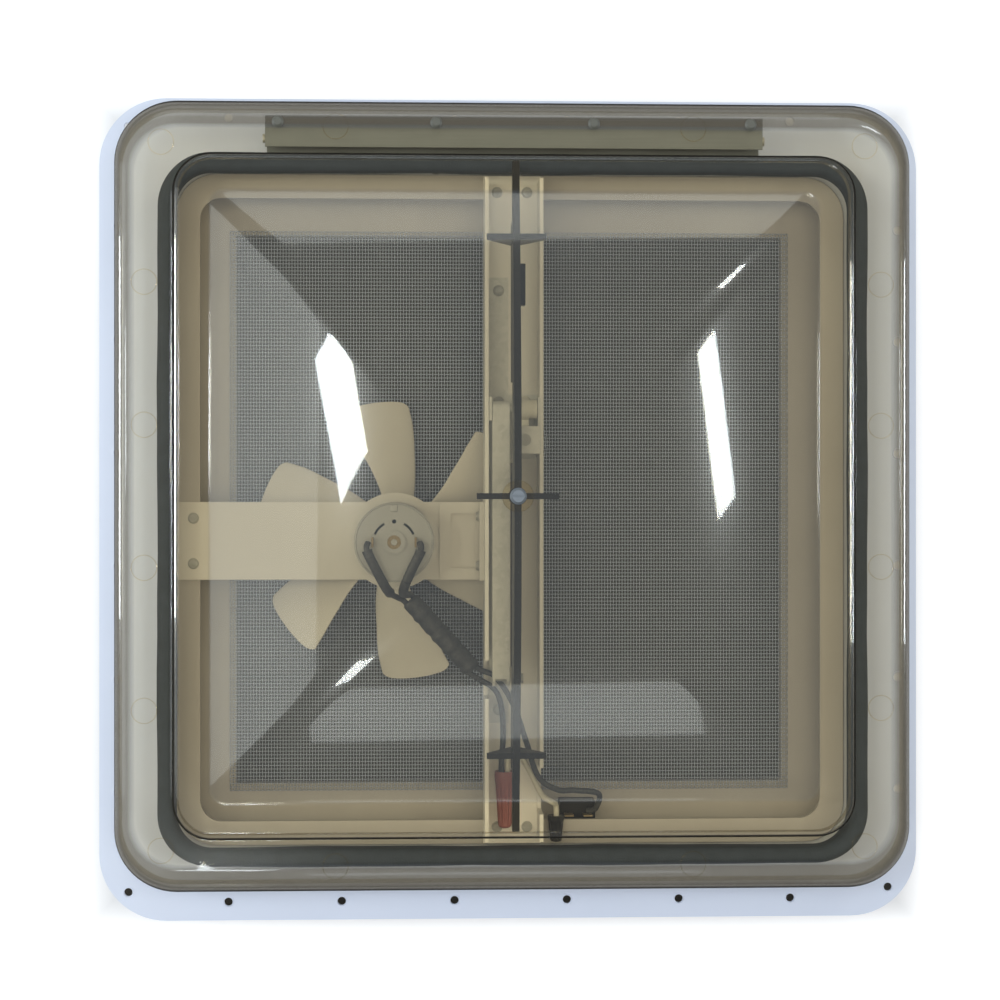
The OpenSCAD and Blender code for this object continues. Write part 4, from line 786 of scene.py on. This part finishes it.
lid_section = np.concatenate([lid_rows(0.0), lid_rows(LID_WALL)[::-1]])
mark_rows = ring_rows(MARK_R, MARK_LINE, step_z - LID_WALL - MARK_SINK)
boss_low = crown_z - LID_WALL - BOSS_H
boss_rows = np.array([
    [CROWN_SCREW_R, boss_low],
    [BOSS_R - BOSS_BEVEL, boss_low],
    [BOSS_R, boss_low + BOSS_BEVEL],
    [BOSS_R, boss_low + BOSS_H],
    [CROWN_SCREW_R, boss_low + BOSS_H],
])
lid_points = lid_rings(lid_section)
# Darkness for each point: body share, with painted shade at the rim, the skirt and the edges
lid_body_and_painted_shade = np.repeat(lid_section[:, 3], lid_points.shape[1])
add_piece("smoke_lid", "lid", smoke_plastic,
          [grid(lid_points)], ["lid_shell", "lid_rim"], dark=lid_body_and_painted_shade)
add_piece("ejector_marks", "lid", smoke_plastic,
          [grid(np.stack([lathe(mark_rows, 40, place) for place in mark_places()]), loop_rows=True)])
add_piece("crown_boss", "lid", smoke_plastic,
          [grid(lathe(boss_rows, 48, (0.0, lid_y)), loop_rows=True)])


# Foam seal

def seal_section():
    """Loop of the foam's section as offset from the collar's wall and height: a round back over two legs."""
    side = (seal_high[0] - COLLAR_HALF) - SEAL_WAVE
    low, top = seal_low[2], seal_high[2]
    turn = np.radians(np.linspace(0, 90, 9))
    rounding = np.stack([np.cos(turn), np.sin(turn)], axis=1) - 1
    right = (side, top) + SEAL_ROUND * rounding
    left = right[::-1] * (-1, 1)
    slot = [
        [-side, low],
        [-SEAL_SLOT, low],
        [-SEAL_SLOT, COLLAR_EDGE_Z],
        [SEAL_SLOT, COLLAR_EDGE_Z],
        [SEAL_SLOT, low],
    ]
    return np.concatenate([right, left, slot, [[side, low]]])


def seal_grid():
    """The seal's section carried round the collar; its free sides waver by two sines of the angle."""
    section = seal_section()
    rows = np.stack([COLLAR_HALF + section[:, 0], COLLAR_CORNER + section[:, 0], section[:, 1]], axis=1)
    points = square_rings(rows)
    angle = np.arctan2(points[..., 1], points[..., 0])
    waver = 0.6 * np.sin(SEAL_SLOW_WAVES * angle + 0.7) + 0.4 * np.sin(SEAL_QUICK_WAVES * angle)
    free = np.abs(section[:, 0]) > 2 * SEAL_SLOT
    out = SEAL_WAVE / COLLAR_HALF * waver * free[:, None] * np.sign(section[:, 0])[:, None]
    points[..., :2] *= 1 + out[..., None]
    return points


add_piece("foam_seal", "base", foam, [grid(seal_grid(), loop_rows=True)], ["collar_seal"])


# Woven screen

def thread_lines(axis, middle):
    """Places of the threads along one axis: a fixed pitch, with the grommet in the middle of a gap."""
    pitch = NET_PITCH[axis]
    count = int((net_high[axis] - NET_HEM - pitch / 2) / pitch)
    return pitch * (np.arange(-count, count) + 0.5) + middle - pitch * round(middle / pitch)


def threads(along):
    """Stack of woven threads along X (0) or Y (1).

    A thread is a three-sided tube with one ring at each crossing, over and under in turn, and the other
    direction goes the other way. Close to the grommet the rings move outwards along the radius, so the
    threads part round it."""
    middle = (grommet_low[:2] + grommet_high[:2]) / 2
    across = thread_lines(1 - along, middle[1 - along])
    lengthwise = thread_lines(along, middle[along])
    place, run = np.meshgrid(across, lengthwise, indexing="ij")
    weave = (np.add.outer(np.arange(len(across)), np.arange(len(lengthwise))) + along) % 2 * 2 - 1
    level = net_low[2] + THREAD_R + THREAD_WAVE + THREAD_WAVE * weave
    flat = np.stack([run, place] if along == 0 else [place, run], axis=-1) - middle
    away = np.linalg.norm(flat, axis=-1, keepdims=True)
    near = np.minimum(away / NET_OPEN_R, 1)
    flat = flat / away * np.maximum(away, GROMMET_BORE_R + near * (NET_OPEN_R - GROMMET_BORE_R)) + middle
    path = np.concatenate([flat, level[..., None]], axis=-1)
    corner = np.radians([90, 210, 330])
    side, up = THREAD_R * THREAD_FLAT * np.cos(corner), THREAD_R * np.sin(corner)
    ring = np.stack([0 * side, side, up] if along == 0 else [side, 0 * side, up], axis=-1)
    return capped(path[:, :, None] + ring)


add_piece("screen_weft", "base", net, [grid(threads(0))], ["insect_screen"], sharp=180)
add_piece("screen_warp", "base", net, [grid(threads(1))], sharp=180)


# Fan

def blade(angle):
    """One blade: a rounded plate section carried out along the radius.

    s runs from root to tip and c across the chord. The chord widens outwards, its middle swings back,
    its pitch eases from root to tip, it is slightly hollow below, and the tip's corners are rounded off."""
    s = np.linspace(0, 1, 28)[:, None]
    loop = np.linspace(0, 2 * np.pi, 36, endpoint=False)
    c = np.sign(np.cos(loop)) * np.abs(np.cos(loop))**0.7
    e = np.sign(np.sin(loop)) * np.abs(np.sin(loop))**0.5 * BLADE_T / 2
    tip = fan_r * (1 - TIP_ROUND * np.abs(c)**10)
    r = BLADE_ROOT_R + (tip - BLADE_ROOT_R) * s
    half_chord = np.interp(s, CHORD_STATIONS, HALF_CHORDS)
    swing = np.radians(angle + np.interp(s, SWING_STATIONS, SWING_DEGREES))
    pitch = np.radians(np.interp(s, [0, 1], [FAN_PITCH_ROOT, FAN_PITCH_TIP]))
    turn = swing + half_chord * c / r
    slope = half_chord * c * np.tan(pitch)
    level = blade_z + slope + BLADE_HOLLOW * half_chord * (1 - c**2) + e
    return np.stack([fan_x + r * np.cos(turn), fan_y + r * np.sin(turn), level], axis=-1)


def hub_rows():
    """Half section of the hub: a cup with rounded shoulders and a hole for the shaft."""
    return np.array([
        [SHAFT_HOLE_R, hub_low],
        [HUB_R - HUB_BEVEL, hub_low],
        [HUB_R, hub_low + HUB_BEVEL],
        [HUB_R, hub_top - HUB_SHOULDER],
        [HUB_R - HUB_SOFTENED, hub_top - HUB_SOFTENED],
        [HUB_R - HUB_SHOULDER, hub_top],
        [SHAFT_HOLE_R, hub_top],
    ])


blade_angles = FAN_FIRST_ANGLE + 360 / FAN_BLADES * np.arange(FAN_BLADES)
add_piece("fan", "fan", fan_plastic,
          [grid(capped(np.stack([blade(a) for a in blade_angles]))),
           grid(lathe(hub_rows(), 64, (fan_x, fan_y)), loop_rows=True)], ["fan_rotor"])


# Raised marks on the motor's end cap

CAP_BOSS_H = 1.5
CAP_BEAD_R = 19.75
CAP_BEAD = 0.45
CAP_PAD_HALF = 1.8
CAP_PAD_AT = (0.0, 17.4)
CAP_STUD_R = 1.9
CAP_STUD_AT = (14.2, -6.0)
CAP_PAD_CORNER = 0.6
CAP_MARK_RISE = 0.4
CAP_MARK_SINK = 0.3


def raised_pad(half, corner, centre):
    """Low square pad with round corners and a quarter circle as its top edge, set into the cap's face."""
    turn = np.radians(np.linspace(0, 90, 5))
    lift = CAP_MARK_RISE * np.sin(turn)
    draw = CAP_MARK_RISE * (1 - np.cos(turn))
    rows = np.stack([half - draw, corner - draw, cap_z + lift], axis=1)
    low = [[half, corner, cap_z - CAP_MARK_SINK]]
    top = [[0.0, 0.0, cap_z + CAP_MARK_RISE]]
    return square_rings(np.concatenate([low, rows, top])) + (*centre, 0.0)


cap_z = node_box("motor_end_cap")[1][2] - CAP_BOSS_H
add_piece("cap_marks", "base", motor_steel,
          [grid(lathe(ring_rows(CAP_BEAD_R, CAP_BEAD, cap_z), 72, (fan_x, fan_y)), loop_rows=True),
           grid(raised_pad(CAP_PAD_HALF, CAP_PAD_CORNER, np.add((fan_x, fan_y), CAP_PAD_AT))),
           grid(raised_pad(CAP_STUD_R, CAP_STUD_R, np.add((fan_x, fan_y), CAP_STUD_AT)))])


# Rolled lips round the flange's screw holes

def hole_places():
    """Middles of the flange holes: four corners and a row of six along each side."""
    row = (np.arange(HOLES_A_SIDE) - (HOLES_A_SIDE - 1) / 2) * HOLE_PITCH
    ends = [(x, s * HOLE_ROW) for s in (-1, 1) for x in row]
    sides = [(s * HOLE_ROW, y) for s in (-1, 1) for y in row]
    return ends + sides + [(sx * HOLE_CORNER, sy * HOLE_CORNER) for sx in (-1, 1) for sy in (-1, 1)]


lip_rows = ring_rows(HOLE_R + LIP_OUT, LIP_R, SHEET_T)
add_piece("hole_lips", "base", white_paint,
          [grid(np.stack([lathe(lip_rows, 28, place) for place in hole_places()]), loop_rows=True)])


# Finishes of the solids that stay as they are

NODE_FINISHES = [
    (white_paint, ["base_frame"]),
    (shaded_frame_plastic, ["inner_frame", "frame_lip", "screen_ledge"]),
    (cream_plastic, ["fan_bracket", "ceiling_trim", "crank_handle", "crank_knob"]),
    (lit_beam_plastic, ["centre_beam"]),
    (arm_steel, ["lift_arm", "operator_bracket"]),
    (hinge_steel, ["base_hinge_leaf", "lid_hinge_leaf", "armature", "crown_screw"]),
    (rivet_steel, ["base_hinge_rivets", "lid_hinge_rivets"]),
    (zinc, ["hinge_pin", "frame_screws", "trim_screws", "beam_screws"]),
    (zinc, ["bracket_screws", "motor_screws", "motor_shaft", "fan_nut", "operator_rivets"]),
    (zinc, ["arm_shaft", "slider_pin", "worm", "crank_shaft", "crank_screw", "knob_pin"]),
    (motor_steel, ["motor_can", "motor_end_cap"]),
    (bronze, ["motor_bushes", "motor_terminals", "switch_terminals"]),
    (ferrite, ["motor_magnets"]),
    (carbon, ["motor_brushes"]),
    (nylon, ["crank_bush", "sector_gear", "slider_block"]),
    (black_paint, ["lid_rail"]),
    (black_rubber, ["screen_grommet"]),
    (black_plastic, ["switch_body", "switch_rocker"]),
]


def dress_solids():
    """Gives each solid that stays its finish, in every material slot."""
    for finish, names in NODE_FINISHES:
        for name in names:
            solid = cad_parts[name]
            if not solid.material_slots:
                solid.data.materials.append(finish)
            for place in solid.material_slots:
                place.material = finish


dress_solids()


# Studio: pale floor, a dark felt strip and a grey card under the part as painted shade in the front flange
# holes and behind the screen, and soft lamps

FLOOR_HALF = 40000.0
# Sizes of the painted shade sheets: the felt under the front row of flange holes, the card under the screen
SHADE_FELT_HALF = 233.0
SHADE_FELT_CORNER = 38.5
SHADE_FELT_REAR = -205.0
SHADE_FELT_X = 3.3
SHADE_CARD_HALF = 170.0
SHADE_CARD_CORNER = 30.0
GLOW_START = 214.0
GLOW_FULL = 262.0
FLOOR_GLOW = 0.7
FLOOR_GREY = (0.84, 0.84, 0.84, 1.0)
BLACK = (0.0, 0.0, 0.0, 1.0)
WHITE = (1.0, 1.0, 1.0, 1.0)
FLOOR_GAP = 0.5
SHEET_GAP = 0.3


def floor_finish():
    """Pale floor that turns white to the eye away from the part and keeps the shadow close to it."""
    f = Finish("studio_floor")
    rays = [f.add("ShaderNodeLightPath", out=name) for name in
            ("Is Camera Ray", "Is Glossy Ray", "Is Transmission Ray")]
    seen = (rays[0] + rays[1] + rays[2]).least(1.0)
    x = f.add("ShaderNodeSeparateXYZ", None, {"Vector": f.place}, out="X")
    y = f.add("ShaderNodeSeparateXYZ", None, {"Vector": f.place}, out="Y")
    far = f.add("ShaderNodeMapRange", {"interpolation_type": "SMOOTHSTEP"}, {
        "Value": x.size().most(y.size()), "From Min": GLOW_START * MM, "From Max": GLOW_FULL * MM})
    glow = f.blend(seen * far * FLOOR_GLOW, BLACK, WHITE)
    return f.done(f.solid(
        FLOOR_GREY, 0.9, None, Specular_IOR_Level=0.0, Emission_Color=glow, Emission_Strength=1.0))


def mat_finish(name, deep, pale):
    """Dull felt or card, laid as painted shade under the part."""
    f = Finish(name)
    return f.done(f.solid(f.blend(f.noise(grain=4), deep, pale), 0.95, None, Specular_IOR_Level=0.0))


def stage_sheet(name, finish, level, half, corner=0.0, rear=FLOOR_HALF, centre_x=0.0):
    """Level sheet of the studio: a square with round corners, cut off behind its rear line."""
    outline = square_rings(np.array([[half, corner, level]]))[0]
    outline[:, 1] = np.minimum(outline[:, 1], rear)
    outline = (outline + (centre_x, 0.0, 0.0)) * MM
    mesh = bpy.data.meshes.new(name)
    mesh.from_pydata(outline.tolist(), [], [range(len(outline))])
    mesh.materials.append(finish)
    sheet = bpy.data.objects.new(name, mesh)
    bpy.context.scene.collection.objects.link(sheet)


def softbox(name, place, width, height, glow, colour, roll=0.0, mirrored=True, lights=True):
    """Rectangular lamp aimed at the crown: its power is brightness x pi x area, and roll turns it.

    mirrored says if gloss shows it, and lights if it lights matt surfaces."""
    lamp = bpy.data.lights.new(name, "AREA")
    lamp.shape = "RECTANGLE"
    lamp.size = width * MM
    lamp.size_y = height * MM
    lamp.color = colour
    lamp.energy = glow * math.pi * lamp.size * lamp.size_y
    box = bpy.data.objects.new(name, lamp)
    box.location = Vector(place) * MM
    box.rotation_mode = "QUATERNION"
    aim = (Vector(CROWN) - Vector(place)).to_track_quat("-Z", "Y")
    box.rotation_quaternion = aim @ Quaternion((0, 0, 1), math.radians(roll))
    box.visible_glossy = mirrored
    box.visible_diffuse = lights
    bpy.context.scene.collection.objects.link(box)


floor_z = cad_low[2] / MM - FLOOR_GAP
# Felt and card are painted shade: dark sheets under the flange holes and under the screen
felt = mat_finish("felt", tone(52, 50, 46), tone(66, 63, 58))
card = mat_finish("painted_shade_card", tone(97, 99, 103), tone(108, 110, 113))
stage_sheet("floor", floor_finish(), floor_z, FLOOR_HALF)
stage_sheet("painted_shade_felt", felt, floor_z + SHEET_GAP, SHADE_FELT_HALF, SHADE_FELT_CORNER, SHADE_FELT_REAR, SHADE_FELT_X)
stage_sheet("painted_shade_card", card, floor_z + 2 * SHEET_GAP, SHADE_CARD_HALF, SHADE_CARD_CORNER)

CROWN = (0.0, lid_y, crown_z)
COOL = (0.86, 0.94, 1.0)
PLAIN = (1.0, 1.0, 1.0)
softbox("left_lamp", (-619, 122, 1500), 205, 128, 30.0, COOL, roll=40)
softbox("right_lamp", (892, 103, 1500), 235, 84, 32.0, COOL, roll=17)
softbox("rear_spark", (593, 650, 1500), 95, 95, 30.0, COOL)
softbox("front_spark", (-286, -506, 1500), 120, 95, 24.0, COOL)
softbox("left_wall", (-1350, 60, 1250), 900, 1500, 2.3, COOL)
softbox("left_strip", (-1500, 90, 520), 450, 380, 42.0, COOL, lights=False)
softbox("right_strip", (1500, 60, 480), 450, 300, 42.0, COOL, lights=False)
softbox("rear_wall", (-120, 1400, 1350), 1300, 700, 2.3, COOL)
softbox("front_card", (60, -900, 1550), 520, 240, 2.6, COOL)
softbox("overhead", (0, 0, 2300), 1400, 1400, 3.1, PLAIN, mirrored=False)

AIR_LEVEL = 0.25
world = bpy.data.worlds.new("studio_air")
world.use_nodes = True
world.node_tree.nodes["Background"].inputs["Color"].default_value = WHITE
world.node_tree.nodes["Background"].inputs["Strength"].default_value = AIR_LEVEL
bpy.context.scene.world = world

bpy.context.scene.view_settings.view_transform = "Standard"
